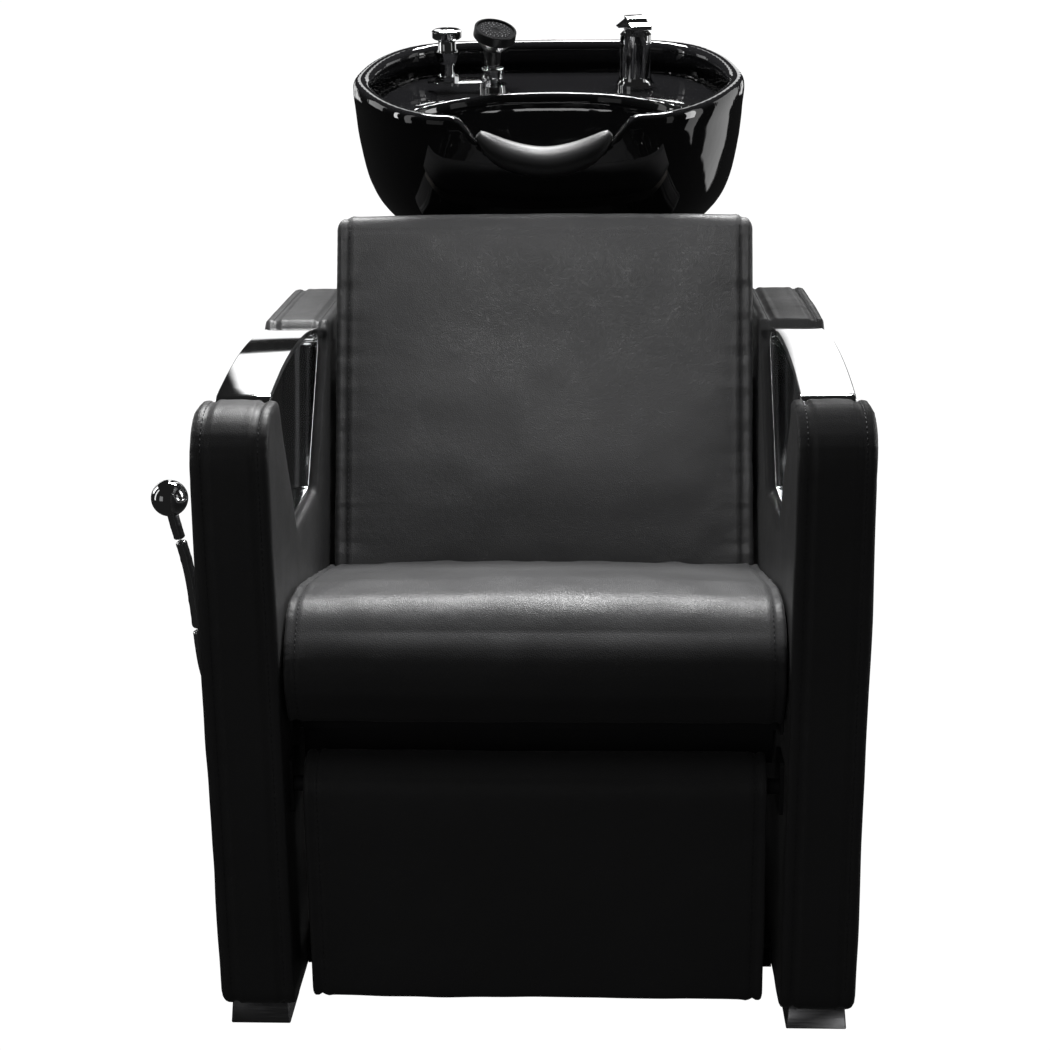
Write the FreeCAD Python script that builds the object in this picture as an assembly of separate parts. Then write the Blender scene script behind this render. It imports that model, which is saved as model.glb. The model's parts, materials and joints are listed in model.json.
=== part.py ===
import FreeCAD, Part
import math
import os
from FreeCAD import Vector

# Shampoo backwash unit: a chair with side arms, a leg rest worked by a side lever, and a
# tilting bowl with its taps on a pedestal behind.  Millimetres, +Z up, front faces -Y,
# +X to the right.  Parts are drawn with the front plane of the arms at y = 0, then moved
# so that the origin is the centre of the floor bolt pattern.

# ---- driving dimensions ---------------------------------------------------------
ORIGIN_Y = 780.0          # bolt pattern centre behind the arm front plane
LIFT = 14.0               # all parts except those at floor level are raised by this
RUN = 0.05                # radial running clearance

ARM_OUT = 330.0           # outer face of an arm from the centre plane
ARM_IN = 252.5            # inner face of an arm
ARM_LEN = 700.0
ARM_BOTTOM = 30.0 - LIFT
ARM_JOIN = 470.0          # rear end of the front part of an arm
ARM_ROUND = 13.0          # upholstery edge radius
POST_TOP = 652.0
BLOCK_TOP = 666.5
CORE_IN, CORE_OUT = 269.0, 314.0

TRIM_W = 55.0             # width of the metal armrest band
TRIM_T = 6.0
TRIM_MID = (ARM_IN + ARM_OUT) / 2
TRIM_BOTTOM = 494.0
TRIM_SCREW_Z = TRIM_BOTTOM + TRIM_T
TRIM_SCREW_YS = (205.0, 275.0)

RAIL_IN = ARM_IN - 40.0   # inner face of a base rail
TUBE, TUBE_WALL = 25.0, 2.0
SEAT_HALF = 251.0
BACK_HALF = 247.0

PIVOT_Y, PIVOT_Z = 40.0, 257.0     # leg rest pivot
PIVOT_R = 8.0
LEG_HALF = 235.0
LEG_R = 35.0                       # top radius of the leg rest pad
SHAFT_Y, SHAFT_Z = 210.0, 240.0    # side lever shaft
SHAFT_R = 10.0
BUSH_R, BUSH_LEN, FLANGE_T = 14.0, 22.0, 3.0
CRANK_Y, CRANK_Z = 45.0, -26.0     # from either axis to its link pin
LINK_PIN_R = 5.0
CRANK_PIN = (SHAFT_Y + CRANK_Y, SHAFT_Z + CRANK_Z)
LEG_PIN = (PIVOT_Y + CRANK_Y, PIVOT_Z + CRANK_Z)

TILT_Y, TILT_Z = 840.0, 620.0      # bowl tilt axis
TILT_R = 8.0
INLET_XS, INLET_Z = (70.0, 130.0), 180.0
WASTE_X, WASTE_Z = -90.0, 110.0

# The bowl has its own axes: u right, v back along the rim, w up square to the rim.
RIM_SLOPE = math.atan(0.17)
BOWL_Y, BOWL_Z = 525.0, 893.0
DECK = -42.0              # w of the deck that carries the taps
BOWL_BOTTOM = -216.0
DRAIN_V = 198.0
MIXER = (115.0, 352.0)
BREAKER = (-138.0, 338.0)
SPRAY = (-78.0, 350.0)


# ---- helpers ----------------------------------------------------------------------
def box(x0, x1, y0, y1, z0, z1):
    return Part.makeBox(x1 - x0, y1 - y0, z1 - z0, Vector(x0, y0, z0))


def cyl_x(x0, x1, y, z, radius):
    return Part.makeCylinder(radius, x1 - x0, Vector(x0, y, z), Vector(1, 0, 0))


def cyl_y(x, y, z, radius, length):
    return Part.makeCylinder(radius, length, Vector(x, y, z), Vector(0, 1, 0))


def cyl_z(x, y, z, radius, height):
    return Part.makeCylinder(radius, height, Vector(x, y, z), Vector(0, 0, 1))


def cone_z(x, y, z, bottom_r, top_r, height):
    return Part.makeCone(bottom_r, top_r, height, Vector(x, y, z), Vector(0, 0, 1))


def polar(x, y, radius, count, start=0.0):
    """Points evenly spaced on a circle; start is in degrees."""
    angles = [math.radians(360 / count * k + start) for k in range(count)]
    return [(x + radius * math.cos(a), y + radius * math.sin(a)) for a in angles]


def in_plane(plane, a, b, c):
    """Vector from in-plane coordinates a, b and the distance c off the plane."""
    if plane == "yz":
        return Vector(c, a, b)
    if plane == "xz":
        return Vector(a, c, b)
    return Vector(a, b, c)


def outline(points, plane, offset):
    """Closed wire through (a, b, corner radius) points; the radius may be left out."""
    count = len(points)
    corners = [in_plane(plane, p[0], p[1], offset) for p in points]
    ends = []
    for i in range(count):
        corner = corners[i]
        radius = points[i][2] if len(points[i]) > 2 else 0.0
        if radius <= 0:
            ends.append((corner, corner, None))
            continue
        back = (corners[i - 1] - corner).normalize()
        ahead = (corners[(i + 1) % count] - corner).normalize()
        angle = back.getAngle(ahead)
        trim = radius / math.tan(angle / 2)
        bisector = (back + ahead).normalize()
        middle = corner + bisector * (radius / math.sin(angle / 2) - radius)
        ends.append((corner + back * trim, corner + ahead * trim, middle))
    edges = []
    for i in range(count):
        start, end, middle = ends[i]
        if middle is not None:
            edges.append(Part.Arc(start, middle, end).toShape())
        following = ends[(i + 1) % count][0]
        if (following - end).Length > 1e-6:
            edges.append(Part.makeLine(end, following))
    return Part.Wire(edges)


def prism(points, low, high, plane="yz"):
    face = Part.Face(outline(points, plane, low))
    return face.extrude(in_plane(plane, 0, 0, high - low))


def slab(point, s0, s1, d0, d1, x0, x1):
    """Rectangle s0..s1 by d0..d1 in the slanted axes of point(), extruded along X."""
    return prism([point(s0, d0), point(s1, d0), point(s1, d1), point(s0, d1)], x0, x1)


def rounded(shape, radius, keep):
    """Fillet the edges picked by keep(edge)."""
    # A fillet that fails or comes out broken is tried again with a smaller radius;
    # if none takes, the shape stays sharp.
    for factor in (1.0, 0.8, 0.6, 0.4):
        edges = [e for e in shape.Edges if keep(e)]
        try:
            out = shape.makeFillet(radius * factor, edges)
            if out.isValid() and out.Volume > 0.5 * shape.Volume:
                return out
        except Exception:
            pass
    return shape


def square_to_x(edge, tolerance=1e-4):
    return edge.BoundBox.XLength < tolerance


def upright(edge):
    return edge.BoundBox.ZLength > 50


def mirror(shape):
    return shape.mirror(Vector(0, 0, 0), Vector(1, 0, 0))


def both(shape):
    return Part.makeCompound([shape, mirror(shape)])


def cut_both(shape, tool):
    return shape.cut(tool).cut(mirror(tool))


def fuse(*shapes):
    out = shapes[0]
    for shape in shapes[1:]:
        out = out.fuse(shape)
    out = out.removeSplitter()
    return out.Solids[0] if len(out.Solids) == 1 else out


def bar(start, end, half, x0, x1):
    """Flat bar with round ends between two points of the YZ plane."""
    (a, b), (c, d) = start, end
    length = math.hypot(c - a, d - b)
    along_y, along_z = (c - a) / length, (d - b) / length
    off_y, off_z = -along_z * half, along_y * half
    body = prism([(a + off_y, b + off_z), (c + off_y, d + off_z),
                  (c - off_y, d - off_z), (a - off_y, b - off_z)], x0, x1)
    return fuse(body, cyl_x(x0, x1, a, b, half), cyl_x(x0, x1, c, d, half))


def sweep(points, radius, bore=0.0, start_dir=None, end_dir=None):
    """Round section along a smooth curve, with optional end directions."""
    curve = Part.BSplineCurve()
    points = [Vector(*p) for p in points]
    if start_dir is None:
        curve.interpolate(points)
    else:
        curve.interpolate(Points=points, InitialTangent=Vector(*start_dir),
                          FinalTangent=Vector(*end_dir))
    path = Part.Wire(curve.toShape())
    tangent = curve.tangent(curve.FirstParameter)[0]

    def pipe(section_r):
        section = Part.Wire(Part.Circle(points[0], tangent, section_r).toShape())
        return path.makePipeShell([section], True, True)

    solid = pipe(radius)
    return solid.cut(pipe(bore)) if bore > 0 else solid


def cross_tube(half_length, y, z):
    """Square tube along X; y and z are its lowest corner."""
    inner, outer = TUBE_WALL, TUBE - TUBE_WALL
    over = half_length + 0.5
    return box(-half_length, half_length, y, y + TUBE, z, z + TUBE).cut(
        box(-over, over, y + inner, y + outer, z + inner, z + outer))


def export(name, shape, lift=LIFT):
    shape = shape.copy()
    shape.translate(Vector(0, -ORIGIN_Y, lift))
    shape.exportStep("parts/%s.step" % name)


def export_at_floor(name, shape):
    export(name, shape, 0.0)


# ---- bowl axes ------------------------------------------------------------------------
def on_bowl(shape):
    """Move a shape from the bowl's axes to the unit's."""
    placed = shape.copy()
    placed.rotate(Vector(0, 0, 0), Vector(1, 0, 0), math.degrees(RIM_SLOPE))
    placed.translate(Vector(0, BOWL_Y, BOWL_Z))
    return placed


def bowl_point(u, v, w):
    cos, sin = math.cos(RIM_SLOPE), math.sin(RIM_SLOPE)
    return Vector(u, BOWL_Y + v * cos - w * sin, BOWL_Z + v * sin + w * cos)


def to_bowl(y, z):
    """The v and w of a point of the unit's YZ plane."""
    cos, sin = math.cos(RIM_SLOPE), math.sin(RIM_SLOPE)
    dy, dz = y - BOWL_Y, z - BOWL_Z
    return dy * cos + dz * sin, -dy * sin + dz * cos


BOWL_DOWN = bowl_point(0, 0, -1) - bowl_point(0, 0, 0)


def deck_cyl(spot, above, radius, height):
    """Cylinder square to the deck at (u, v), starting a distance above it."""
    return cyl_z(spot[0], spot[1], DECK + above, radius, height)


def deck_cone(spot, above, bottom_r, top_r, height):
    return cone_z(spot[0], spot[1], DECK + above, bottom_r, top_r, height)


# ---- arms -----------------------------------------------------------------------------
def band_outer(x0, x1):
    """Solid filling the arm window; its top run is the armrest."""
    front = Vector(x0, 76, 650)
    crown = Vector(x0, 262, 673)
    rear = Vector(x0, 446, 659)
    low_rear = Vector(x0, 309, TRIM_BOTTOM)
    low_front = Vector(x0, 158, TRIM_BOTTOM)
    wire = Part.Wire([Part.Arc(front, crown, rear).toShape(), Part.makeLine(rear, low_rear),
                      Part.makeLine(low_rear, low_front), Part.makeLine(low_front, front)])
    solid = Part.Face(wire).extrude(Vector(x1 - x0, 0, 0))
    return rounded(solid, 16.0, lambda e: abs(e.Vertexes[0].X - e.Vertexes[-1].X) > 1.0)


def band(x0, x1):
    """Closed metal loop lining the arm window."""
    face = [f for f in band_outer(x0, x1).Faces if abs(f.CenterOfMass.x - x0) < 1e-3][0]
    inner = Part.Face(face.OuterWire.makeOffset2D(-TRIM_T))
    loop = face.cut(inner).extrude(Vector(x1 - x0, 0, 0))
    return rounded(loop, 1.2, square_to_x)


def front_rim(edge):
    """Side edges of the front part, without those in the armrest window."""
    xs = [v.X for v in edge.Vertexes]
    mid = edge.CenterOfMass
    in_window = 280 < mid.y < 440 and mid.z > 480 and mid.z < 640
    return max(xs) - min(xs) < 1e-6 and -1 < mid.y < 460 and not in_window


def rear_rim(edge):
    return square_to_x(edge, 1e-6) and edge.CenterOfMass.y > 281


def arm_body(x0, x1):
    front = prism([(0, ARM_BOTTOM, 22), (0, POST_TOP, 52), (ARM_JOIN, POST_TOP, 0),
                   (ARM_JOIN, ARM_BOTTOM, 0)], x0, x1)
    rear = prism([(280, ARM_BOTTOM, 0), (280, 470, 0), (448, BLOCK_TOP, 8),
                  (ARM_LEN, BLOCK_TOP, 26), (ARM_LEN, ARM_BOTTOM, 20)], x0, x1)
    front = rounded(front, ARM_ROUND, front_rim)
    rear = rounded(rear, ARM_ROUND, rear_rim)
    return front.fuse(rear).removeSplitter().cut(band_outer(x0 - 5, x1 + 5))


# (y, z, corner radius)
ARM_CORE = [(18, 32, 6), (18, 612, 26), (60, 638, 3), (68, 632, 0), (146, 480, 6),
            (318, 480, 6), (456, 649, 4), (466, 651, 0), (684, 651, 12), (684, 32, 6)]


def make_arms():
    side = arm_body(ARM_IN, ARM_OUT)
    core = prism(ARM_CORE, CORE_IN, CORE_OUT)
    trim = band(TRIM_MID - TRIM_W / 2, TRIM_MID + TRIM_W / 2)
    screws = []
    for y in TRIM_SCREW_YS:
        screws.append(fuse(cyl_z(TRIM_MID, y, TRIM_SCREW_Z - 24, 2.5, 24),
                           cone_z(TRIM_MID, y, TRIM_SCREW_Z, 5.5, 3.0, 2.4)))
        hole = cyl_z(TRIM_MID, y, 470, 2.5, 31)
        trim = trim.cut(hole)
        side = side.cut(hole)
        core = core.cut(hole)
    side = side.cut(core)

    # The bush hole goes right through the left arm but is blind in the right one.
    left_hole = cyl_x(-400, -200, SHAFT_Y, SHAFT_Z, BUSH_R)
    right_hole = cyl_x(200, 276.0, SHAFT_Y, SHAFT_Z, BUSH_R)
    export("right_arm_upholstery", side.cut(right_hole))
    export("right_arm_core", core.cut(right_hole))
    export("left_arm_upholstery", mirror(side).cut(left_hole))
    export("left_arm_core", mirror(core).cut(left_hole))
    export("right_armrest_trim", trim)
    export("left_armrest_trim", mirror(trim))
    export("trim_screws", Part.makeCompound(screws + [mirror(s) for s in screws]))


def make_feet():
    """Pressed metal wedges, wider at the floor."""
    front = prism([(326, 0, 1.5), (323, 30, 1.5), (264, 30, 1.5), (262.5, 0, 1.5)],
                  24, 88, "xz")
    front = rounded(front, 1.5, lambda e: e.BoundBox.YLength < 1e-4)
    rear = front.copy()
    rear.translate(Vector(0, 588, 0))
    export_at_floor("feet", Part.makeCompound([front, mirror(front), rear, mirror(rear)]))


# ---- base frame and pedestal ------------------------------------------------------------
PLATE_T = 8.0
BOLT_DX, BOLT_DY, BOLT_R = 300.0, 200.0, 6.0
COVER_BACK = 925.0        # rear face of the pedestal cover


def make_floor_plate():
    plate = box(-190, 190, ORIGIN_Y - 140, ORIGIN_Y + 140, 0, PLATE_T)
    plate = rounded(plate, 20, lambda e: e.BoundBox.ZLength > 7.9)
    for x in (-BOLT_DX / 2, BOLT_DX / 2):
        for y in (ORIGIN_Y - BOLT_DY / 2, ORIGIN_Y + BOLT_DY / 2):
            plate = plate.cut(cyl_z(x, y, -1, BOLT_R, PLATE_T + 2))
    export_at_floor("floor_plate", plate)


def make_base_frame():
    z = PLATE_T + TUBE
    inner, outer = z + TUBE_WALL, z + TUBE - TUBE_WALL
    rail = box(RAIL_IN, ARM_IN, 95, 690, z, z + TUBE).cut(
        box(RAIL_IN + TUBE_WALL, ARM_IN - TUBE_WALL, 90, 695, inner, outer))
    export_at_floor("base_rails", both(rail))
    front = cross_tube(RAIL_IN, 300, z)
    rear = cross_tube(RAIL_IN, 660, z)
    legs = [box(x - TUBE / 2, x + TUBE / 2, 660, 660 + TUBE, PLATE_T, z) for x in (-150, 150)]
    export_at_floor("lower_cross_tubes", Part.makeCompound([front, fuse(rear, *legs)]))


def make_column():
    """Channel open at the rear, with a flange at its foot."""
    column = box(-60, 60, 800, 880, PLATE_T, 540 + LIFT)
    column = column.cut(box(-56, 56, 804, 881, PLATE_T, 541 + LIFT))
    flange = box(-80, 80, 785, 895, PLATE_T, 14).cut(box(-56, 56, 804, 881, 7, 15))
    export_at_floor("pedestal_column", column.fuse(flange).removeSplitter())


def make_tilt_joint():
    ear = fuse(box(44, 50, TILT_Y - 24, TILT_Y + 24, 546, TILT_Z),
               cyl_x(44, 50, TILT_Y, TILT_Z, 24))
    top = box(-64, 64, 796, 884, 540, 546)
    bore = cyl_x(-60, 60, TILT_Y, TILT_Z, TILT_R + RUN)
    export("tilt_bracket", fuse(top, ear, mirror(ear)).cut(bore))
    export("tilt_pin", fuse(cyl_x(-56, 62, TILT_Y, TILT_Z, TILT_R),
                            cyl_x(-62, -56, TILT_Y, TILT_Z, 13.0)))

    knob = fuse(cyl_x(50.5, 60, TILT_Y, TILT_Z, 14.0), cyl_x(60, 84, TILT_Y, TILT_Z, 20.0))
    knob = rounded(knob, 3, lambda e: e.CenterOfMass.x > 83 or (
        abs(e.CenterOfMass.x - 60) < 0.1 and e.BoundBox.ZLength > 39))
    for y, z in polar(TILT_Y, TILT_Z, 24, 6):
        knob = knob.cut(cyl_x(62, 90, y, z, 8.0))
    export("tilt_clamp_knob", knob.cut(cyl_x(40, 62.1, TILT_Y, TILT_Z, TILT_R + RUN)))


def make_cover():
    cover = box(-185, 185, 692, COVER_BACK, 66, 590).cut(
        box(-183, 183, 694, COVER_BACK + 1, 60, 600))
    for side in (-1, 1):
        cover = cover.fuse(box(*sorted((side * 165, side * 183)),
                               COVER_BACK - 2, COVER_BACK, 66, 590))
        cover = cover.fuse(box(*sorted((side * 60, side * 183)), 830, 850, 300, 303))
    cover = cover.removeSplitter()
    panel = box(-184, 184, COVER_BACK, COVER_BACK + 2, 246, 588)
    screws = []
    for x in (-174, 174):
        for z in (262, 572):
            cover = cover.cut(cyl_y(x, 900, z, 2.6, 30))
            panel = panel.cut(cyl_y(x, 900, z, 2.5, 30))
            screws.append(fuse(cyl_y(x, 915, z, 2.5, 12), cyl_y(x, COVER_BACK + 2, z, 5, 2.5)))
    export("pedestal_cover", cover)
    export("access_panel", panel)
    export("panel_screws", Part.makeCompound(screws))


def make_service_plate():
    plate = fuse(box(-160, 160, COVER_BACK, COVER_BACK + 3, PLATE_T, 240 + LIFT),
                 box(-130, 130, 902, COVER_BACK, PLATE_T, PLATE_T + 3))
    inlets = []
    for x in INLET_XS:
        plate = plate.cut(cyl_y(x, 900, INLET_Z, 10.6, 60))
        inlet = fuse(cyl_y(x, 905, INLET_Z, 9.5, 26), cyl_y(x, 917, INLET_Z, 15, 8),
                     cyl_y(x, 931, INLET_Z, 10.5, 30))
        inlets.append(inlet.cut(cyl_y(x, 900, INLET_Z, 7, 70)))
    plate = plate.cut(cyl_y(WASTE_X, 900, WASTE_Z, 20.1, 60))
    export_at_floor("service_plate", plate)
    export_at_floor("water_inlets", Part.makeCompound(inlets))

    # (start y, radius, length)
    steps = [(895, 20, 18), (913, 19, 18), (917, 26, 8), (931, 20, 40)]
    outlet = fuse(*[cyl_y(WASTE_X, y, WASTE_Z, radius, length) for y, radius, length in steps])
    export_at_floor("waste_outlet", outlet.cut(cyl_y(WASTE_X, 890, WASTE_Z, 17, 90)))


# ---- seat -------------------------------------------------------------------------------
# (y, z, corner radius)
SEAT = [(24, 330, 9), (6, 386, 26), (13, 441, 22), (62, 450, 60), (366.5, 392, 9),
        (353, 350, 3), (346, 305, 3), (48, 350, 2), (48, 331, 4)]
BOARD_T = 12.2            # depth of the seat board's underside
BOARD_DY, BOARD_DZ = 298 / 301.4, -45 / 301.4      # along the seat board, downhill


def board_point(s, d):
    """Point s rearward along the seat board and d below its top line."""
    return (48 + s * BOARD_DY + d * BOARD_DZ, 350 + s * BOARD_DZ - d * BOARD_DY)


def make_seat():
    cushion = prism(SEAT, -SEAT_HALF, SEAT_HALF)
    cushion = rounded(cushion, 9, lambda e: square_to_x(e) and (
        e.CenterOfMass.y < 40 or e.CenterOfMass.z > 388))
    export("seat_cushion", cushion)
    export("seat_board", slab(board_point, 2, 300, 0.2, BOARD_T, -245, 245))
    ledge = slab(board_point, 4, 298, BOARD_T, BOARD_T + 3, 222.5, ARM_IN)
    web = slab(board_point, 4, 298, BOARD_T, 39, ARM_IN - 3, ARM_IN)
    export("seat_rails", both(fuse(ledge, web)))

    apron = box(-249, 249, 115, 118, 250, 323)
    front = fuse(cross_tube(249.5, 90, 298), apron)
    export("seat_crossbars", Part.makeCompound([front, cross_tube(249.5, 300, 267)]))


# ---- back -------------------------------------------------------------------------------
BACK_Y, BACK_Z = 372.0, 390.0      # lower end of the back's front line
BACK_TOP_Y, BACK_TOP_Z = 503.0, 785.0
BACK_LEN = math.hypot(BACK_TOP_Y - BACK_Y, BACK_TOP_Z - BACK_Z)
BACK_DY, BACK_DZ = (BACK_TOP_Y - BACK_Y) / BACK_LEN, (BACK_TOP_Z - BACK_Z) / BACK_LEN
BACK_T = 64.0


def back_point(s, d, radius=0.0):
    """Point s up the back's front line and d behind it, with a corner radius."""
    return (BACK_Y + BACK_DY * s + BACK_DZ * d, BACK_Z + BACK_DZ * s - BACK_DY * d, radius)


def back_rim(edge):
    """Side edges of the cushion, without the long ones against the board."""
    mid = edge.CenterOfMass
    depth = (mid.y - BACK_Y) * BACK_DZ - (mid.z - BACK_Z) * BACK_DY
    return square_to_x(edge) and not (abs(depth - BACK_T) < 1 and edge.Length > 200)


def make_back():
    cushion = prism([back_point(-40, 0, 10), back_point(BACK_LEN, 0, 20),
                     back_point(BACK_LEN, BACK_T, 14), back_point(-40, BACK_T, 6)],
                    -BACK_HALF, BACK_HALF)
    export("back_cushion", rounded(cushion, 12, back_rim))
    export("back_board", slab(back_point, -30, BACK_LEN - 22, BACK_T + 0.1, 76, -238, 238))
    flange = slab(back_point, 60, 230, 76, 80, 205, ARM_IN)
    web = slab(back_point, 60, 230, 80, 120, ARM_IN - 4, ARM_IN)
    export("back_brackets", both(fuse(flange, web)))


# ---- leg rest -----------------------------------------------------------------------------
# (y, z, corner radius)
LEG_BRACKET = [(28, 240, 4), (28, 278, 8), (62.9, 278, 2), (62.9, 256, 0), (97, 256, 8),
               (97, 222, 8), (62.9, 222, 0), (62.9, 200, 2), (48, 200, 3)]
PIVOT_PLATE = [(28, 228, 6), (28, 287, 6), (76, 287, 6), (76, 228, 6)]


def make_leg_rest():
    front, rear, top = PIVOT_Y - LEG_R, PIVOT_Y + LEG_R, PIVOT_Z + LEG_R
    pad = prism([(front, 26, 14), (front, top, LEG_R), (rear, top, LEG_R - 0.01),
                 (rear, 26, 8)], -LEG_HALF, LEG_HALF)
    pad = rounded(pad, 10, lambda e: square_to_x(e) and e.CenterOfMass.y < 60)
    board = box(-226, 226, 63, 75, 32, 250)
    pad = cut_both(pad, box(179.9, 186.1, 62, 76, 221, 257))       # bracket tail
    pad = pad.cut(board)
    pad = cut_both(pad, box(149.5, 186.5, 27.5, 63, 199.5, 278.5))  # bracket pocket
    pad = cut_both(pad, cyl_x(185, 240, PIVOT_Y, PIVOT_Z, 10.0))
    export("leg_rest_cushion", pad)
    export("leg_rest_board", cut_both(board, box(179.9, 186.1, 62, 76, 221, 251)))

    plate = prism(LEG_BRACKET, 180, 186)
    flange = box(150, 180, 59.9, 62.9, 204, 274)
    link_pin = cyl_x(178, 193.5, *LEG_PIN, LINK_PIN_R)
    bracket = fuse(plate, flange, link_pin)
    bracket = bracket.cut(cyl_x(170, 200, PIVOT_Y, PIVOT_Z, PIVOT_R + RUN))
    export("leg_rest_brackets", both(bracket))
    pivot = fuse(cyl_x(178.5, ARM_IN - 4, PIVOT_Y, PIVOT_Z, PIVOT_R),
                 prism(PIVOT_PLATE, ARM_IN - 4, ARM_IN))
    export("leg_rest_pivots", both(pivot))


# ---- side lever, shaft, cranks and links ----------------------------------------------------
# (x, y, z) from the hub up to the ball
LEVER_PATH = [(-344, SHAFT_Y, SHAFT_Z + 8), (-349, SHAFT_Y, SHAFT_Z + 24),
              (-364, SHAFT_Y, 290), (-373, SHAFT_Y, 318), (-376.5, SHAFT_Y, 350),
              (-380, SHAFT_Y, 400), (-386, SHAFT_Y, 446), (-395, SHAFT_Y, 484),
              (-399, SHAFT_Y, 505)]
BALL_R = 20.0


def on_shaft(x0, x1, radius):
    return cyl_x(x0, x1, SHAFT_Y, SHAFT_Z, radius)


def bush(x0, flange_x):
    """Plastic bush from x0, with a flange from flange_x."""
    body = fuse(on_shaft(x0, x0 + BUSH_LEN, BUSH_R),
                on_shaft(flange_x, flange_x + FLANGE_T, 20))
    return body.cut(on_shaft(x0 - 10, x0 + 40, SHAFT_R + RUN))


def make_linkage():
    export("lever_shaft", on_shaft(-352, 246, SHAFT_R))
    crank = fuse(bar((SHAFT_Y, SHAFT_Z), CRANK_PIN, 11, 193.6, 199.6),
                 on_shaft(193.6, 206, 17), cyl_x(186.8, 193.6, *CRANK_PIN, LINK_PIN_R))
    export("shaft_cranks", both(crank.cut(on_shaft(190, 210, SHAFT_R))))
    link = bar(CRANK_PIN, LEG_PIN, 9, 187.4, 192.6)
    for pin in (CRANK_PIN, LEG_PIN):
        link = link.cut(cyl_x(180, 200, *pin, LINK_PIN_R + RUN))
    export("drive_links", both(link))
    export("shaft_bushes", Part.makeCompound([
        bush(-ARM_OUT, -ARM_OUT - FLANGE_T),
        bush(-ARM_IN - BUSH_LEN, -ARM_IN),
        bush(ARM_IN, ARM_IN - FLANGE_T)]))


def make_lever():
    rod = sweep(LEVER_PATH, 6.2)
    lever = on_shaft(-352, -334, 16).fuse(rod).removeSplitter()
    export("side_lever", lever.cut(on_shaft(-360, -320, SHAFT_R)))
    export("lever_ball", Part.makeSphere(BALL_R, Vector(-400, SHAFT_Y, 515)).cut(rod))


# ---- bowl -------------------------------------------------------------------------------------
# Right halves of the plan outlines, (u, v) from front to back.
RIM = [(0, 4), (60, 6), (105, 11), (139, 19), (163, 34), (190, 64), (216, 108), (240, 167),
       (252, 215), (251, 276), (241, 336), (224, 386), (190, 435), (142, 459), (71, 465),
       (0, 466)]
BASIN = [(0, 27), (60, 29), (105, 36), (145, 54), (176, 88), (193, 125), (199, 160),
         (193, 195), (177, 222), (150, 256), (115, 284), (75, 304), (35, 313), (0, 315)]
# Loft stations: (u scale, v scale, v shift, w).
OUTER_STATIONS = [
    (0.970, 0.970, 0, 0), (0.992, 0.992, 0, -3), (1.0, 1.0, 0, -10), (0.997, 0.995, 0, -30),
    (0.990, 0.980, 3, -60), (0.972, 0.950, 9, -100), (0.940, 0.905, 18, -140),
    (0.895, 0.845, 24, -165), (0.80, 0.74, 27, -190), (0.64, 0.60, 27, -208),
    (0.44, 0.44, 27, BOWL_BOTTOM)]
CAVITY_STATIONS = [(0.955, 0.955, 0, 8), (0.945, 0.945, 0, 0), (0.922, 0.922, 0, -4),
                   (0.910, 0.910, 0, -12), (0.900, 0.900, 0, DECK)]
BASIN_STATIONS = [
    (1.03, 1.02, 0, DECK + 3), (1.0, 1.0, 0, DECK - 5), (0.965, 0.95, 8, -100),
    (0.89, 0.86, 20, -140), (0.78, 0.74, 26, -165), (0.60, 0.56, 28, -182),
    (0.35, 0.33, 28, -192)]
# Right half of the neck notch, (u, w) from the rim down to the centre.
NOTCH = [(128, 8), (114, 1), (104, -4), (97, -11), (88.5, -20.5), (76, -36.5), (55, -49.3),
         (28, -54.2), (0, -55)]
# Right halves of the neck rest's rolls, (u, w, section radius).
NECK_ROLL = [(79, -20, 5), (71, -29, 11), (56, -41, 16), (30, -51.8, 18.6), (0, -56, 19)]
NECK_BEAD = [(60, -60, 5), (45, -70, 6), (24, -77, 6), (0, -79.5, 6)]
# How far the bowl wall is lowered for each cut into the neck rest.
NECK_DROPS = (0, 1.5, 3.5, 6, 9, 13.333, 18, 26.667, 40, 53.333, 66.667, 80)
CRADLE_BOLTS = [(u, v) for u in (-60, 60) for v in (258, 306)]


def ring(half, centre_v, u_scale, v_scale, v_shift, w):
    points = [(u * u_scale, (v - centre_v) * v_scale + centre_v + v_shift, w) for u, v in half]
    points += [(-p[0], p[1], w) for p in reversed(points[1:-1])]
    curve = Part.BSplineCurve()
    curve.interpolate(Points=[Vector(*p) for p in points], PeriodicFlag=True)
    return Part.Wire(curve.toShape())


def ring_loft(half, centre_v, stations):
    return Part.makeLoft([ring(half, centre_v, *s) for s in stations], True, False)


BOWL_OUTER = ring_loft(RIM, 245, OUTER_STATIONS)
BOWL_CAVITY = ring_loft(RIM, 245, CAVITY_STATIONS)
BOWL_BASIN = ring_loft(BASIN, 170, BASIN_STATIONS)


def bowl_shell():
    return BOWL_OUTER.cut(BOWL_CAVITY).cut(BOWL_BASIN)


def neck_notch():
    """Cutter for the neck notch through the front wall."""
    front, back = -30, 60
    points = [Vector(u, front, w) for u, w in NOTCH]
    points += [Vector(-u, front, w) for u, w in reversed(NOTCH[:-1])]
    curve = Part.BSplineCurve()
    curve.interpolate(points)
    wire = Part.Wire([curve.toShape(), Part.makeLine(points[-1], points[0])])
    return Part.Face(wire).extrude(Vector(0, back - front, 0))


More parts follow.
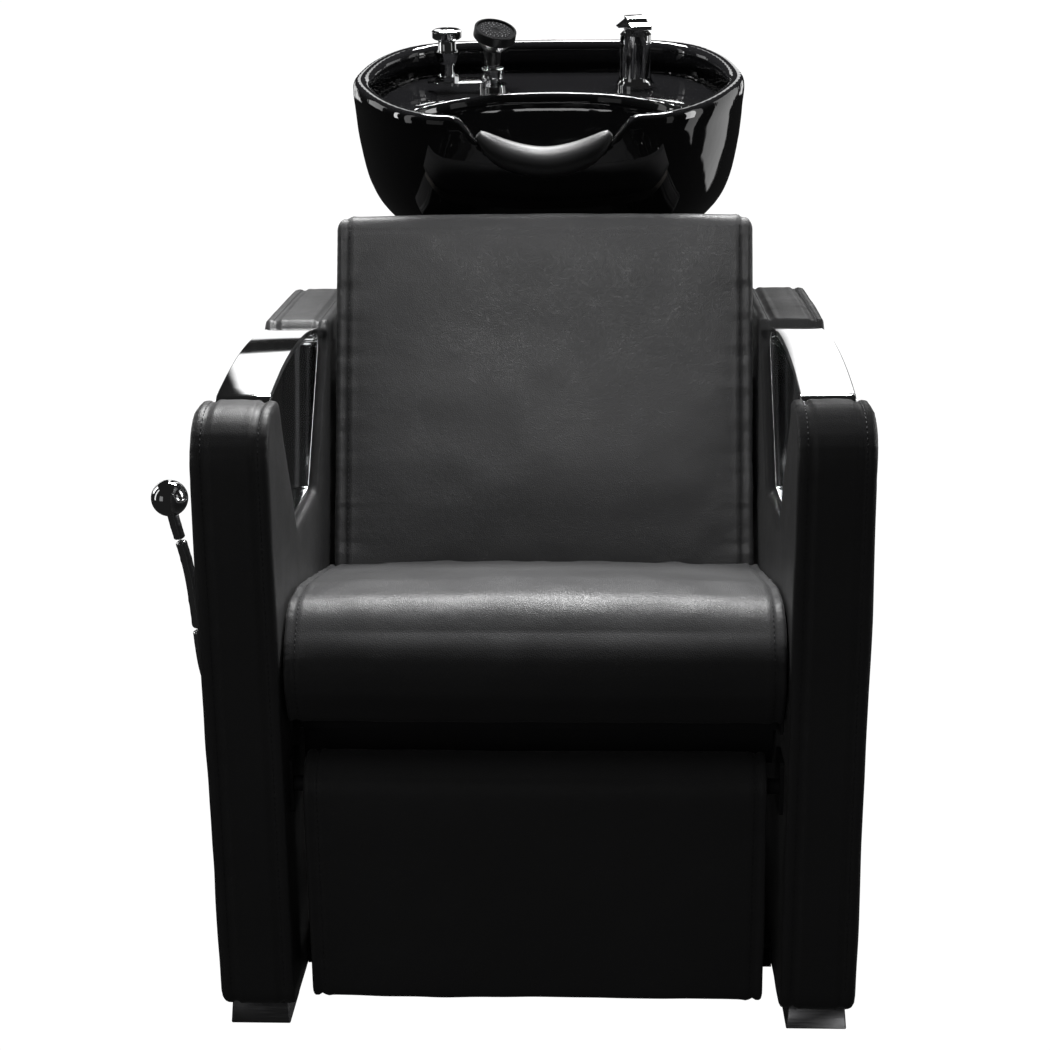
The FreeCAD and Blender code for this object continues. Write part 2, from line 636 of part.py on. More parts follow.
def make_bowl():
    bowl = bowl_shell()
    # Two stacked pockets hollow out the underside of the deck.
    bowl = bowl.cut(rounded(box(-150, 150, 332, 424, -178, DECK - 14), 12, upright))
    bowl = bowl.cut(rounded(box(-112, 112, 332, 385, -230, -170), 12, upright))
    bowl = bowl.cut(neck_notch())
    bowl = bowl.cut(cyl_z(0, DRAIN_V, BOWL_BOTTOM - 7, 22, 38))
    for spot, radius in ((MIXER, 17), (BREAKER, 10), (SPRAY, 11)):
        bowl = bowl.cut(deck_cyl(spot, -40, radius, 45))
    bolts = []
    for u, v in CRADLE_BOLTS:
        bowl = bowl.cut(cyl_z(u, v, BOWL_BOTTOM - 7, 4.2, 15))
        bolts.append(on_bowl(fuse(cyl_z(u, v, BOWL_BOTTOM - 16, 4.0, 23),
                                  cyl_z(u, v, BOWL_BOTTOM - 12, 7.0, 5.98))))
    export("bowl", on_bowl(bowl))
    export("cradle_bolts", Part.makeCompound(bolts))


def make_cradle():
    tilt_v, tilt_w = to_bowl(TILT_Y, TILT_Z)
    under = BOWL_BOTTOM - 6
    plate = box(-74, 74, 244, 324, under, BOWL_BOTTOM - 0.02)
    for u, v in CRADLE_BOLTS:
        plate = plate.cut(cyl_z(u, v, BOWL_BOTTOM - 22, 4.1, 30))
    lug = fuse(prism([(246, under), (322, under), (tilt_v + 18, tilt_w), (tilt_v - 18, tilt_w)],
                     36.5, 42.5),
               cyl_x(36.5, 42.5, tilt_v, tilt_w, 20))
    boss = cyl_x(-36.5, 36.5, tilt_v, tilt_w, 13)
    cradle = fuse(plate, lug, mirror(lug), boss)
    cradle = cradle.cut(cyl_x(-60, 60, tilt_v, tilt_w, TILT_R + RUN))
    export("bowl_cradle", on_bowl(cradle))


def roll(half, v):
    """Loft of circles square to a symmetric path in the (u, w) plane."""
    stations = half + [(-u, w, radius) for u, w, radius in reversed(half[:-1])]
    wires = []
    for i, (u, w, radius) in enumerate(stations):
        before = stations[max(i - 1, 0)]
        after = stations[min(i + 1, len(stations) - 1)]
        tangent = Vector(after[0] - before[0], 0, after[1] - before[1])
        wires.append(Part.Wire(Part.Circle(Vector(u, v, w), tangent, radius).toShape()))
    return Part.makeLoft(wires, True, False)


def make_neck_rest():
    """Rubber roll tapering to both ends, saddled over the notch, with a bead below it."""
    neck = roll(NECK_ROLL, 14).fuse(roll(NECK_BEAD, 17))
    wall = bowl_shell().cut(neck_notch()).common(box(-135, 135, -20, 62, -130, 10))
    # Cutting with ever lower copies of the wall clears the wall and the space under it.
    for drop in NECK_DROPS:
        lowered = wall.copy()
        lowered.translate(Vector(0, -0.3 if drop else 0, -drop))
        neck = neck.cut(lowered)
    neck = max(neck.Solids, key=lambda s: s.Volume)
    export("neck_rest", on_bowl(neck))


# ---- waste --------------------------------------------------------------------------------------
def make_waste():
    def at_drain(w, radius, height):
        return cyl_z(0, DRAIN_V, w, radius, height)

    flange = fuse(at_drain(-192, 31, 2.4), at_drain(-266, 20.5, 75))
    flange = flange.cut(at_drain(-267, 17.8, 84)).cut(cone_z(0, DRAIN_V, -193, 17.8, 22, 3.6))
    export("waste_flange", on_bowl(flange))
    nut = prism(polar(0, DRAIN_V, 30, 6), BOWL_BOTTOM - 14, BOWL_BOTTOM - 0.2, "xy")
    export("waste_nut", on_bowl(nut.cut(at_drain(-235, 20.5, 30))))
    strainer = fuse(at_drain(-192.6, 17.4, 2.6), at_drain(-206, 2.5, 14),
                    at_drain(-190, 3.0, 8), Part.makeSphere(5.0, Vector(0, DRAIN_V, -180)))
    for u, v in polar(0, DRAIN_V, 11.5, 8):
        strainer = strainer.cut(cyl_z(u, v, -200, 2.6, 15))
    export("strainer", on_bowl(strainer))
    path = [bowl_point(0, DRAIN_V, -256), (-12, 764, 590), (-60, 754, 450),
            (WASTE_X, 762, 290), (WASTE_X, 800, 158), (WASTE_X, 908, WASTE_Z - LIFT)]
    export("waste_hose", sweep(path, 23.0, 20.8, BOWL_DOWN, (0, 1, 0)))


# ---- mixer tap ------------------------------------------------------------------------------------
MIXER_U, MIXER_V = MIXER
MIXER_TOP = 59.0                   # top of the fixed mixer body above the deck
TURRET_W = DECK + MIXER_TOP + 0.15
LEVER_YAW = 14.0                   # the lever is left turned a little about its axis
LEVER_W = DECK + 78.0              # underside of the lever
HINGE_V, HINGE_W = MIXER_V - 10.0, DECK + 78.5
HINGE_R = 1.8


def make_mixer_body():
    body = fuse(deck_cyl(MIXER, 0, 25.5, 5), deck_cone(MIXER, 5, 25.5, 22.6, 4),
                deck_cone(MIXER, 9, 22.6, 20.8, 5), deck_cyl(MIXER, 14, 20.8, MIXER_TOP - 14),
                deck_cyl(MIXER, -34, 16.5, 34))
    for flute in polar(MIXER_U, MIXER_V, 23.2, 10, 8):
        body = body.cut(deck_cyl(flute, 14, 4.6, MIXER_TOP - 18))
    body = body.cut(deck_cyl(MIXER, 31, 15.0, 40))
    for du, dv in ((-8, -3), (8, -3), (0, 9.5)):
        body = body.cut(deck_cyl((MIXER_U + du, MIXER_V + dv), -40, 3.2, 80))
    export("mixer_body", on_bowl(body))
    export("mixer_cartridge", on_bowl(deck_cyl(MIXER, 31, 14.9, MIXER_TOP - 31.1)))


def turned(shape):
    shape = shape.copy()
    shape.rotate(Vector(MIXER_U, MIXER_V, 0), Vector(0, 0, 1), LEVER_YAW)
    return shape


def make_mixer_turret():
    turret = fuse(cyl_z(*MIXER, TURRET_W, 20.8, 11),
                  cone_z(*MIXER, TURRET_W + 11, 20.8, 17.5, 3.5))
    tongue = fuse(box(MIXER_U - 5, MIXER_U + 5, HINGE_V - 4, HINGE_V + 4,
                      TURRET_W + 12, HINGE_W),
                  cyl_x(MIXER_U - 5, MIXER_U + 5, HINGE_V, HINGE_W, 4),
                  cyl_x(MIXER_U - 9.5, MIXER_U + 11.5, HINGE_V, HINGE_W, HINGE_R))
    pad = cyl_z(*MIXER, TURRET_W + 14, 16, LEVER_W - TURRET_W - 14.35)
    pad = pad.cut(box(MIXER_U - 30, MIXER_U + 30, MIXER_V - 30, MIXER_V - 4.5,
                      TURRET_W, LEVER_W + 5))
    export("mixer_turret", on_bowl(turned(fuse(turret, tongue, pad))))


# Lever side view: (v from the mixer axis, w from the lever's underside, corner radius).
LEVER_PROFILE = [(-20, 0, 1), (-20, 5.5, 1.6), (-5, 7.5, 2), (1, 12.5, 2), (20, 14.5, 2.2),
                 (20, 9, 2), (6, 0, 3)]
# Lever plan view: (u, v) from the mixer axis.
LEVER_PLAN = [(-11.5, -21), (16.5, -21), (12.5, 21), (-10.5, 21)]


def make_mixer_lever():
    lever = prism([(MIXER_V + v, LEVER_W + w, r) for v, w, r in LEVER_PROFILE],
                  MIXER_U - 14, MIXER_U + 17)
    lever = lever.common(prism([(MIXER_U + u, MIXER_V + v) for u, v in LEVER_PLAN],
                               LEVER_W - 5, LEVER_W + 30, "xy"))
    wing = prism([(MIXER_U - 25, LEVER_W + 1, 0.6), (MIXER_U - 8, LEVER_W + 13, 0),
                  (MIXER_U - 8, LEVER_W + 1, 0)], MIXER_V + 1, MIXER_V + 15, "xz")
    lever = fuse(lever, wing)
    lever = lever.cut(box(MIXER_U - 5.1, MIXER_U + 5.1, HINGE_V - 6.5, HINGE_V + 6.5,
                          LEVER_W - 5, HINGE_W + 4.6))
    lever = lever.cut(cyl_x(MIXER_U - 9.55, MIXER_U + 11.55, HINGE_V, HINGE_W, HINGE_R + RUN))
    export("mixer_lever", on_bowl(turned(lever)))


# ---- breaker ----------------------------------------------------------------------------------------
BREAKER_U, BREAKER_V = BREAKER
BASE_H = 13.0             # height of the breaker base above the deck
HEX_TURN = 12.0           # degrees


def breaker_base():
    base = prism([(-166, 338, 2), (-152, 320, 3), (-94, 320, 3), (-80, 338, 2), (-94, 358, 3),
                  (-152, 358, 3)], DECK, DECK + BASE_H, "xy")
    top_edges = [e for e in base.Edges if abs(e.BoundBox.ZMin - DECK - BASE_H) < 1e-3
                 and e.BoundBox.ZLength < 1e-3]
    # The chamfer may fail on the small corner arcs; the base then stays square.
    try:
        base = base.makeChamfer(3.0, top_edges)
    except Exception:
        pass
    base = base.fuse(deck_cyl(BREAKER, -30, 9.5, 31)).removeSplitter()
    base = base.cut(deck_cyl(BREAKER, -31, 6, 60))
    return base.cut(deck_cyl(SPRAY, -1, 13.5, 60))


def hex_ring(radius, above):
    points = [Vector(u, v, DECK + above) for u, v in polar(*BREAKER, radius, 6, HEX_TURN)]
    return Part.makePolygon(points + [points[0]])


def make_breaker_body():
    hexagon = prism(polar(*BREAKER, 14.5, 6, HEX_TURN), DECK + BASE_H, DECK + 20, "xy")
    flare = Part.makeLoft([hex_ring(11.2, 36), hex_ring(16.5, 52)], True, True)
    body = fuse(hexagon, deck_cyl(BREAKER, 20, 9.6, 17), flare,
                deck_cone(BREAKER, 52, 14, 12, 3), deck_cyl(BREAKER, 55, 12, 14))
    export("breaker_body", on_bowl(body.cut(deck_cyl(BREAKER, 0, 6, 62))))
    cap = fuse(deck_cone(BREAKER, 69, 17.5, 20, 2), deck_cyl(BREAKER, 71, 20, 8),
               deck_cone(BREAKER, 79, 20, 17.6, 1.6), deck_cone(BREAKER, 80.6, 17.6, 8, 1.4))
    slot = box(BREAKER_U - 1.5, BREAKER_U + 1.5, BREAKER_V - 9, BREAKER_V + 9,
               DECK + 80.4, DECK + 92)
    export("breaker_cap", on_bowl(cap.cut(slot)))


# ---- hand spray ---------------------------------------------------------------------------------------
SPRAY_U, SPRAY_V = SPRAY


def make_spray_holder(base):
    """Two rings joined by a post, trimmed clear of the breaker base."""
    foot_ring = deck_cyl(SPRAY, 0, 19, 5).cut(deck_cyl(SPRAY, 0, 13, 5))
    top_ring = deck_cyl(SPRAY, 14, 15.5, 13).cut(deck_cyl(SPRAY, 14, 11.2, 13))
    post = box(SPRAY_U - 4, SPRAY_U + 4, SPRAY_V + 12.2, SPRAY_V + 17.0, DECK, DECK + 24)
    holder = rounded(fuse(foot_ring, top_ring, post), 1.6, lambda e: (
        e.BoundBox.ZLength < 1e-3 and abs(e.BoundBox.XLength - 31) < 0.1))
    export("spray_holder", on_bowl(holder.cut(base)))
    ferrule = fuse(deck_cyl(SPRAY, 12, 7.5, 14), deck_cyl(SPRAY, 26, 9.5, 6))
    export("hose_ferrule", on_bowl(ferrule.cut(deck_cyl(SPRAY, 11, 6.3, 12))))


def make_spray_head():
    axis = Vector(0.20, -0.27, 0.94).normalize()
    centre = Vector(SPRAY_U + 3, SPRAY_V - 2, DECK + 68)

    def disc(radius, start, height):
        return Part.makeCylinder(radius, height, centre + axis * start, axis)

    def taper(start_r, end_r, start, height):
        return Part.makeCone(start_r, end_r, height, centre + axis * start, axis)

    shell = fuse(taper(14, 25.5, -16, 13), taper(25.5, 28.5, -3, 3), disc(28.5, 0, 13))
    shell = rounded(shell, 1.6, lambda e: (
        e.Length > 170 and (e.CenterOfMass - (centre + axis * 13)).Length < 1.0))
    handle = fuse(deck_cone(SPRAY, 32, 10.6, 12.4, 22), shell)
    export("spray_handle", on_bowl(handle.cut(disc(25.5, 7.5, 20))))
    face = fuse(disc(25.4, 7.5, 2.5), taper(22, 20, 10.0, 0.8))
    export("spray_head", on_bowl(face.cut(disc(5, 9.9, 1.4))))


# ---- water hoses ----------------------------------------------------------------------------------------
# Paths in bowl axes: (u, v, w from the deck).
SPRAY_HOSE = [(SPRAY_U, SPRAY_V, 23), (SPRAY_U, SPRAY_V, -30), (SPRAY_U - 2, SPRAY_V + 4, -80),
              (SPRAY_U - 12, SPRAY_V + 16, -118), (SPRAY_U - 32, SPRAY_V + 20, -128),
              (BREAKER_U + 4, SPRAY_V + 12, -108), (BREAKER_U, BREAKER_V + 2, -66),
              (BREAKER_U, BREAKER_V, -30.2)]
MIXED_PIPE = [(MIXER_U, MIXER_V + 9.5, -34.1), (MIXER_U - 12, MIXER_V + 24, -60),
              (45, MIXER_V + 34, -66), (-20, MIXER_V + 32, -56), (-82, MIXER_V + 15, -32),
              (BREAKER_U + 9.7, BREAKER_V, -22)]


def deck_path(points):
    return [bowl_point(u, v, DECK + above) for u, v, above in points]


def make_water_hoses():
    export("spray_hose", sweep(deck_path(SPRAY_HOSE), 5.8, 0.0, BOWL_DOWN, BOWL_DOWN * -1))
    export("mixed_water_pipe", sweep(deck_path(MIXED_PIPE), 4.5, 0.0, BOWL_DOWN, (-1, 0, 0)))
    hoses = []
    for side, x in zip((-1, 1), INLET_XS):
        path = deck_path([(MIXER_U + 8 * side, MIXER_V - 3, -34.1),
                          (98 + 7.2 * side, MIXER_V + 5, -140)])
        path += [(x - 14 * side, 900, 650), (x, 882, 430), (x, 868, 260),
                 (x, 905, INLET_Z - LIFT)]
        hoses.append(sweep(path, 4.9, 0.0, BOWL_DOWN, (0, 1, 0)))
    export("supply_hoses", Part.makeCompound(hoses))


# ---- build ------------------------------------------------------------------------------------------------
os.makedirs("parts", exist_ok=True)
for file_name in os.listdir("parts"):
    if file_name.endswith(".step"):
        os.remove("parts/" + file_name)

make_arms()
make_feet()
make_floor_plate()
make_base_frame()
make_column()
make_tilt_joint()
make_cover()
make_service_plate()
make_seat()
make_back()
make_leg_rest()
make_linkage()
make_lever()
make_bowl()
make_cradle()
make_neck_rest()
make_waste()
make_mixer_body()
make_mixer_turret()
make_mixer_lever()
base_of_breaker = breaker_base()
export("breaker_base", on_bowl(base_of_breaker))
make_breaker_body()
make_spray_holder(base_of_breaker)
make_spray_head()
make_water_hoses()
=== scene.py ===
# A salon wash unit: an upholstered chair (arms, seat, back and leg rest) with a ceramic bowl,
# neck rest, taps and hand spray behind it.
# Metres, +Z up. X runs across the chair (left is -X) and the sitter faces -Y.
# Cover outlines are drawn in mm in the YZ plane, with y counted back from the arm front plane.
import json
import math
from itertools import product

import bmesh
import bpy
import numpy as np
from mathutils import Matrix, Vector
from mathutils.bvhtree import BVHTree


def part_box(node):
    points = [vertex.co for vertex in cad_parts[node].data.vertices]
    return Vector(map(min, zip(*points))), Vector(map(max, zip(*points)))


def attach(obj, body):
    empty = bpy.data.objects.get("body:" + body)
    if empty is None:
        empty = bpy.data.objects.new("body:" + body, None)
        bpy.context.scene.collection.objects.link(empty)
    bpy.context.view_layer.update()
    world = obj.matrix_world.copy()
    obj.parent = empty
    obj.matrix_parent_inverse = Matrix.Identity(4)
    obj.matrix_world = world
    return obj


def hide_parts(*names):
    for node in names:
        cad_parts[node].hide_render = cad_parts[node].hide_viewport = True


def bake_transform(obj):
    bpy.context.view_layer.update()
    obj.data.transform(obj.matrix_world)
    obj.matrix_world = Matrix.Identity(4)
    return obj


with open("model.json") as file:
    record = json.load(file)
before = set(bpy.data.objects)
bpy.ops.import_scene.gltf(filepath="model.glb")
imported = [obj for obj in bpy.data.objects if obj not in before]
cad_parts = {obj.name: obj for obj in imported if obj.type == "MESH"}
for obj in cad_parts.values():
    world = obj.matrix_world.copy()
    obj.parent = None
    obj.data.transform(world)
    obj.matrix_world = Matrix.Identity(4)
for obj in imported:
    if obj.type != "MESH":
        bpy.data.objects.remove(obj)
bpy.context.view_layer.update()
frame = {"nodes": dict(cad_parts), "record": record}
BODY = {node: body for body, nodes in frame["record"]["behaviour"]["bodies"].items()
        for node in nodes}
SLOT = {part["node"]: part["material_slot"] for part in frame["record"]["subparts"]}

MM = 0.001
SHIFT = 0.780    # arm front plane to the row origin
DRAWN_BALL_TOP = 0.535    # top of the lever ball at the height the covers are drawn
LIFT = round(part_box("lever_ball")[1][2] - DRAWN_BALL_TOP, 4)    # raises the finished covers
LEATHER = "black_leather"
BACKDROP = 1.05    # brightness of the white the camera sees


# ---------------------------------------------------------------- shader helpers
def set_inputs(target, values):
    for socket, value in values.items():
        target.inputs[socket].default_value = value


def link_or_set(tree, socket, value):
    if isinstance(value, (int, float)):
        socket.default_value = value
    else:
        tree.links.new(value, socket)


def add_node(tree, kind, **settings):
    """Add a node; each setting is an input where one has that name, otherwise a property."""
    added = tree.nodes.new(kind)
    for key, value in settings.items():
        if key in added.inputs:
            added.inputs[key].default_value = value
        else:
            setattr(added, key, value)
    return added


def new_material(name):
    material = bpy.data.materials.new(name)
    material.use_nodes = True
    tree = material.node_tree
    return material, tree, tree.nodes["Principled BSDF"]


def object_coords(tree, scale=(1, 1, 1)):
    source = add_node(tree, "ShaderNodeTexCoord")
    mapping = add_node(tree, "ShaderNodeMapping", Scale=scale)
    tree.links.new(source.outputs["Object"], mapping.inputs["Vector"])
    return mapping.outputs["Vector"]


def map_range(tree, value, source, target, **settings):
    mapper = add_node(tree, "ShaderNodeMapRange", **settings)
    set_inputs(mapper, {"From Min": source[0], "From Max": source[1],
                        "To Min": target[0], "To Max": target[1]})
    tree.links.new(value, mapper.inputs["Value"])
    return mapper.outputs["Result"]


def noise(tree, vector, scale, detail=3, roughness=0.5):
    texture = add_node(tree, "ShaderNodeTexNoise", Scale=scale, Detail=detail,
                       Roughness=roughness)
    tree.links.new(vector, texture.inputs["Vector"])
    return texture.outputs["Fac"]


def cell_distance(tree, vector, **settings):
    cells = add_node(tree, "ShaderNodeTexVoronoi", **settings)
    tree.links.new(vector, cells.inputs["Vector"])
    return cells.outputs["Distance"]


def vary_colour(tree, shader, factor, colours):
    mix = add_node(tree, "ShaderNodeMix", data_type="RGBA")
    tree.links.new(factor, mix.inputs[0])
    for index, colour in zip((6, 7), colours):
        mix.inputs[index].default_value = (*colour, 1)
    tree.links.new(mix.outputs[2], shader.inputs["Base Color"])


def vary_roughness(tree, shader, factor, rough):
    """Spread the middle of a noise over the roughness range."""
    result = map_range(tree, factor, source=(0.3, 0.7), target=rough)
    tree.links.new(result, shader.inputs["Roughness"])


def add_bumps(tree, shader, *layers):
    """Stack bumps on the shader; each layer is (height, distance, strength)."""
    normal = None
    for height, distance, strength in layers:
        bump = add_node(tree, "ShaderNodeBump", Distance=distance, Strength=strength)
        tree.links.new(height, bump.inputs["Height"])
        if normal is not None:
            tree.links.new(normal, bump.inputs["Normal"])
        normal = bump.outputs["Normal"]
    tree.links.new(normal, shader.inputs["Normal"])


# ---------------------------------------------------------------- materials
def leather():
    material, tree, shader = new_material("m_leather")
    vector = object_coords(tree)
    edges = cell_distance(tree, vector, feature="DISTANCE_TO_EDGE", Scale=520.0)
    pebble = map_range(tree, edges, source=(0.0, 0.28), target=(0.0, 1.0))
    add_bumps(tree, shader,
              (pebble, 0.00022, 0.55),
              (noise(tree, vector, scale=90, detail=2), 0.0006, 0.35),
              (noise(tree, vector, scale=24), 0.0016, 0.35))
    vary_colour(tree, shader, noise(tree, vector, scale=5),
                ((0.027, 0.027, 0.0275), (0.039, 0.039, 0.040)))
    vary_roughness(tree, shader, noise(tree, vector, scale=11, detail=4, roughness=0.6),
                   rough=(0.33, 0.47))
    set_inputs(shader, {"Specular IOR Level": 0.40, "Sheen Weight": 0.05,
                        "Sheen Roughness": 0.4})
    return material


def metal(name, colour, rough, scale, stretch=(1, 1, 1), bump=0.0, bump_scale=200):
    material, tree, shader = new_material(name)
    vector = object_coords(tree, stretch)
    set_inputs(shader, {"Metallic": 1.0, "Base Color": (*colour, 1)})
    vary_roughness(tree, shader, noise(tree, vector, scale, detail=4, roughness=0.6), rough)
    if bump:
        add_bumps(tree, shader, (noise(tree, vector, bump_scale), bump, 0.6))
    return material


def coated(name, colours, rough, bump=0.0, bump_scale=300, coat=0.0, scale=14, ior=1.5,
           coat_rough=0.03):
    material, tree, shader = new_material(name)
    vector = object_coords(tree)
    factor = noise(tree, vector, scale, detail=4, roughness=0.6)
    vary_colour(tree, shader, factor, colours)
    vary_roughness(tree, shader, factor, rough)
    set_inputs(shader, {"IOR": ior, "Coat Weight": coat, "Coat Roughness": coat_rough})
    if bump:
        add_bumps(tree, shader, (noise(tree, vector, bump_scale), bump, 0.6))
    return material


def plywood():
    material, tree, shader = new_material("m_ply")
    vector = object_coords(tree, scale=(6, 60, 220))
    grain = noise(tree, vector, scale=3, detail=5, roughness=0.6)
    vary_colour(tree, shader, grain, ((0.055, 0.050, 0.046), (0.085, 0.078, 0.070)))
    set_inputs(shader, {"Roughness": 0.62})
    add_bumps(tree, shader, (grain, 0.0004, 0.5))
    return material


def braid():
    material, tree, shader = new_material("m_braid")
    cells = cell_distance(tree, object_coords(tree), Scale=900.0)
    set_inputs(shader, {"Metallic": 0.9, "Roughness": 0.32})
    vary_colour(tree, shader, cells, ((0.22, 0.22, 0.23), (0.62, 0.63, 0.65)))
    add_bumps(tree, shader, (cells, 0.0005, 0.8))
    return material


MATERIALS = {
    LEATHER: leather(),
    "plywood": plywood(),
    "polished_chrome": metal("m_chrome", colour=(0.90, 0.905, 0.91), rough=(0.03, 0.07),
                             scale=18, bump=0.00004, bump_scale=40),
    "brushed_steel": metal("m_brushed", colour=(0.20, 0.20, 0.205), rough=(0.30, 0.45),
                           scale=30, stretch=(1, 1, 40), bump=0.0001, bump_scale=60),
    "painted_steel": coated("m_powder", colours=((0.014, 0.014, 0.015), (0.022, 0.022, 0.023)),
                            rough=(0.42, 0.56), bump=0.0002, bump_scale=700),
    "zinc_steel": metal("m_zinc", colour=(0.42, 0.43, 0.45), rough=(0.34, 0.40),
                        scale=60, bump=0.00005),
    "black_ceramic": coated("m_ceramic",
                            colours=((0.0040, 0.0040, 0.0044), (0.0060, 0.0060, 0.0064)),
                            rough=(0.035, 0.06), bump=0.00025, bump_scale=9,
                            coat=0.5, scale=7, ior=1.52, coat_rough=0.02),
    "black_rubber": coated("m_rubber", colours=((0.011, 0.011, 0.0115), (0.018, 0.018, 0.0185)),
                           rough=(0.36, 0.50), bump=0.00015, bump_scale=600),
    "black_plastic": coated("m_plastic",
                            colours=((0.012, 0.012, 0.0125), (0.018, 0.018, 0.0185)),
                            rough=(0.30, 0.44), bump=0.0001, bump_scale=900),
    "white_plastic": coated("m_acetal", colours=((0.72, 0.72, 0.70), (0.78, 0.78, 0.76)),
                            rough=(0.35, 0.45), bump=0.00005, bump_scale=400),
    "grey_hose": coated("m_hose", colours=((0.16, 0.16, 0.165), (0.22, 0.22, 0.225)),
                        rough=(0.40, 0.55), bump=0.0002),
    "brass": metal("m_brass", colour=(0.72, 0.52, 0.24), rough=(0.2, 0.38), scale=40),
    "steel_braid": braid(),
}
THREAD = coated("m_thread", colours=((0.020, 0.020, 0.021), (0.034, 0.034, 0.035)),
                rough=(0.55, 0.7), bump=0.0002, bump_scale=1500)
NOZZLE = coated("m_nozzle", colours=((0.05, 0.05, 0.052), (0.07, 0.07, 0.072)),
                rough=(0.45, 0.6))

for node_name, cad_object in frame["nodes"].items():
    cad_object.data.materials.clear()
    cad_object.data.materials.append(MATERIALS[SLOT[node_name]])


# ---------------------------------------------------------------- mesh helpers
def add_object(name, mesh, material):
    added = bpy.data.objects.new(name, mesh)
    bpy.context.scene.collection.objects.link(added)
    mesh.materials.clear()
    mesh.materials.append(material)
    return added


def register(piece, body, node):
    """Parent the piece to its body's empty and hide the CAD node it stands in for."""
    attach(piece, body)
    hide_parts(node)


def apply_modifiers(target):
    depsgraph = bpy.context.evaluated_depsgraph_get()
    mesh = bpy.data.meshes.new_from_object(target.evaluated_get(depsgraph))
    target.modifiers.clear()
    old = target.data
    target.data = mesh
    bpy.data.meshes.remove(old)


def voxel_remesh(target, size, smoothing):
    remesh = target.modifiers.new("remesh", "REMESH")
    remesh.mode = "VOXEL"
    remesh.voxel_size = size
    remesh.use_smooth_shade = True
    smooth = target.modifiers.new("smooth", "SMOOTH")
    smooth.factor = 0.5
    smooth.iterations = smoothing
    apply_modifiers(target)


def shade_smooth(mesh):
    for face in mesh.polygons:
        face.use_smooth = True


def read_vertices(mesh, field):
    values = np.empty(len(mesh.vertices) * 3)
    mesh.vertices.foreach_get(field, values)
    return values.reshape(-1, 3)


def store_points(mesh, points):
    mesh.vertices.foreach_set("co", points.ravel())
    mesh.update()


def unit(vector):
    return vector / np.linalg.norm(vector)


def rounded_outline(corners, segments=7):
    """Turn every (y, z, radius) corner of a closed outline into an arc."""
    outline = []
    for index, (y, z, radius) in enumerate(corners):
        corner = np.array((y, z), float)
        before = unit(np.array(corners[index - 1][:2], float) - corner)
        after = unit(np.array(corners[(index + 1) % len(corners)][:2], float) - corner)
        angle = math.acos(float(np.clip(before @ after, -1, 1)))
        tangent = radius / math.tan(angle / 2)
        centre = corner + unit(before + after) * (radius / math.sin(angle / 2))
        start = corner + before * tangent - centre
        end = corner + after * tangent - centre
        turn = np.sign(start[0] * end[1] - start[1] * end[0])
        for k in range(segments + 1):
            theta = turn * (math.pi - angle) * k / segments
            cos, sin = math.cos(theta), math.sin(theta)
            outline.append(centre + np.array([start[0] * cos - start[1] * sin,
                                              start[0] * sin + start[1] * cos]))
    return np.array(outline)


def outline_to_world(x, point):
    """World place of an outline point (mm) at x (m), before the lift."""
    return (x, point[0] * MM - SHIFT, point[1] * MM)


def smooth_step(value, low, high):
    share = np.clip((value - low) / (high - low), 0, 1)
    return share * share * (3 - 2 * share)


def facing(component):
    """1 where the normal component points the wanted way, fading to 0."""
    return smooth_step(component, 0.3, 0.9)


def crown(value, centre, half):
    """Parabola, 1 at the centre and 0 beyond half a width from it."""
    return np.clip(1 - ((value - centre) / half) ** 2, 0, 1)


def bell(value, centre, width):
    return np.exp(-((value - centre) / width) ** 2)


def value_noise(points, size, seed):
    """Smooth noise from -1 to 1 on a grid of the given size, for hand-made unevenness."""
    scaled = points / size
    cell = np.floor(scaled).astype(np.int64)
    blend = scaled - cell
    blend = blend * blend * (3 - 2 * blend)

    def corner_value(i, j, k):
        mixed = (i * 374761393 + j * 668265263 + k * 2147483647 + seed * 144665) & 0x7FFFFFFF
        mixed = ((mixed ^ (mixed >> 13)) * 1274126177) & 0x7FFFFFFF
        return ((mixed ^ (mixed >> 16)) & 0xFFFF) / 32768.0 - 1.0

    total = 0
    for corner in product((0, 1), repeat=3):
        weight = np.where(corner, blend, 1 - blend)
        total = total + (weight[:, 0] * weight[:, 1] * weight[:, 2]
                         * corner_value(*(cell + corner).T))
    return total


def sew_seam(height, rim, distance, along, width, depth, reach, strength, seed):
    """Press a valley with raised shoulders into the height, and pucker the leather beside it."""
    height += rim * (-depth * bell(distance, 0, width)
                     + 0.35 * depth * bell(distance, 2.6 * width, 1.3 * width))
    line = np.stack([along, np.zeros_like(along), np.zeros_like(along)], 1)
    ripple = value_noise(line, 0.013, seed) + 0.5 * value_noise(line, 0.006, seed + 1)
    height += rim * (strength * np.exp(-distance / reach) * ripple)


# ---------------------------------------------------------------- stitches
STITCH_PITCH = 0.0062
STITCH_LENGTH = 0.0044
THREAD_RADIUS = 0.00052
THREAD_SIDES = 6
NEEDLE_REACH = 0.15    # how far a ray looks for the leather
# share of the stitch length, radius factor, height above the leather in thread radii
STITCH_RINGS = ((0, 0.25, -0.3), (0.2, 0.9, 0.3), (0.5, 1.0, 0.5), (0.8, 0.9, 0.3), (1, 0.25, -0.3))


def needle(x, start, outward):
    """Ray from an outline point outside the cover, against the outward direction."""
    return outline_to_world(x, start), (0, -outward[0], -outward[1])


def walk_outline(outline):
    """(point, outward normal) about every 4 mm along the outline."""
    steps = []
    for index, start in enumerate(outline):
        edge = outline[(index + 1) % len(outline)] - start
        length = np.linalg.norm(edge)
        count = max(1, int(length / 4))
        tangent = edge / (length + 1e-9)
        for j in range(count):
            steps.append((start + edge * j / count, np.array([-tangent[1], tangent[0]])))
    return steps


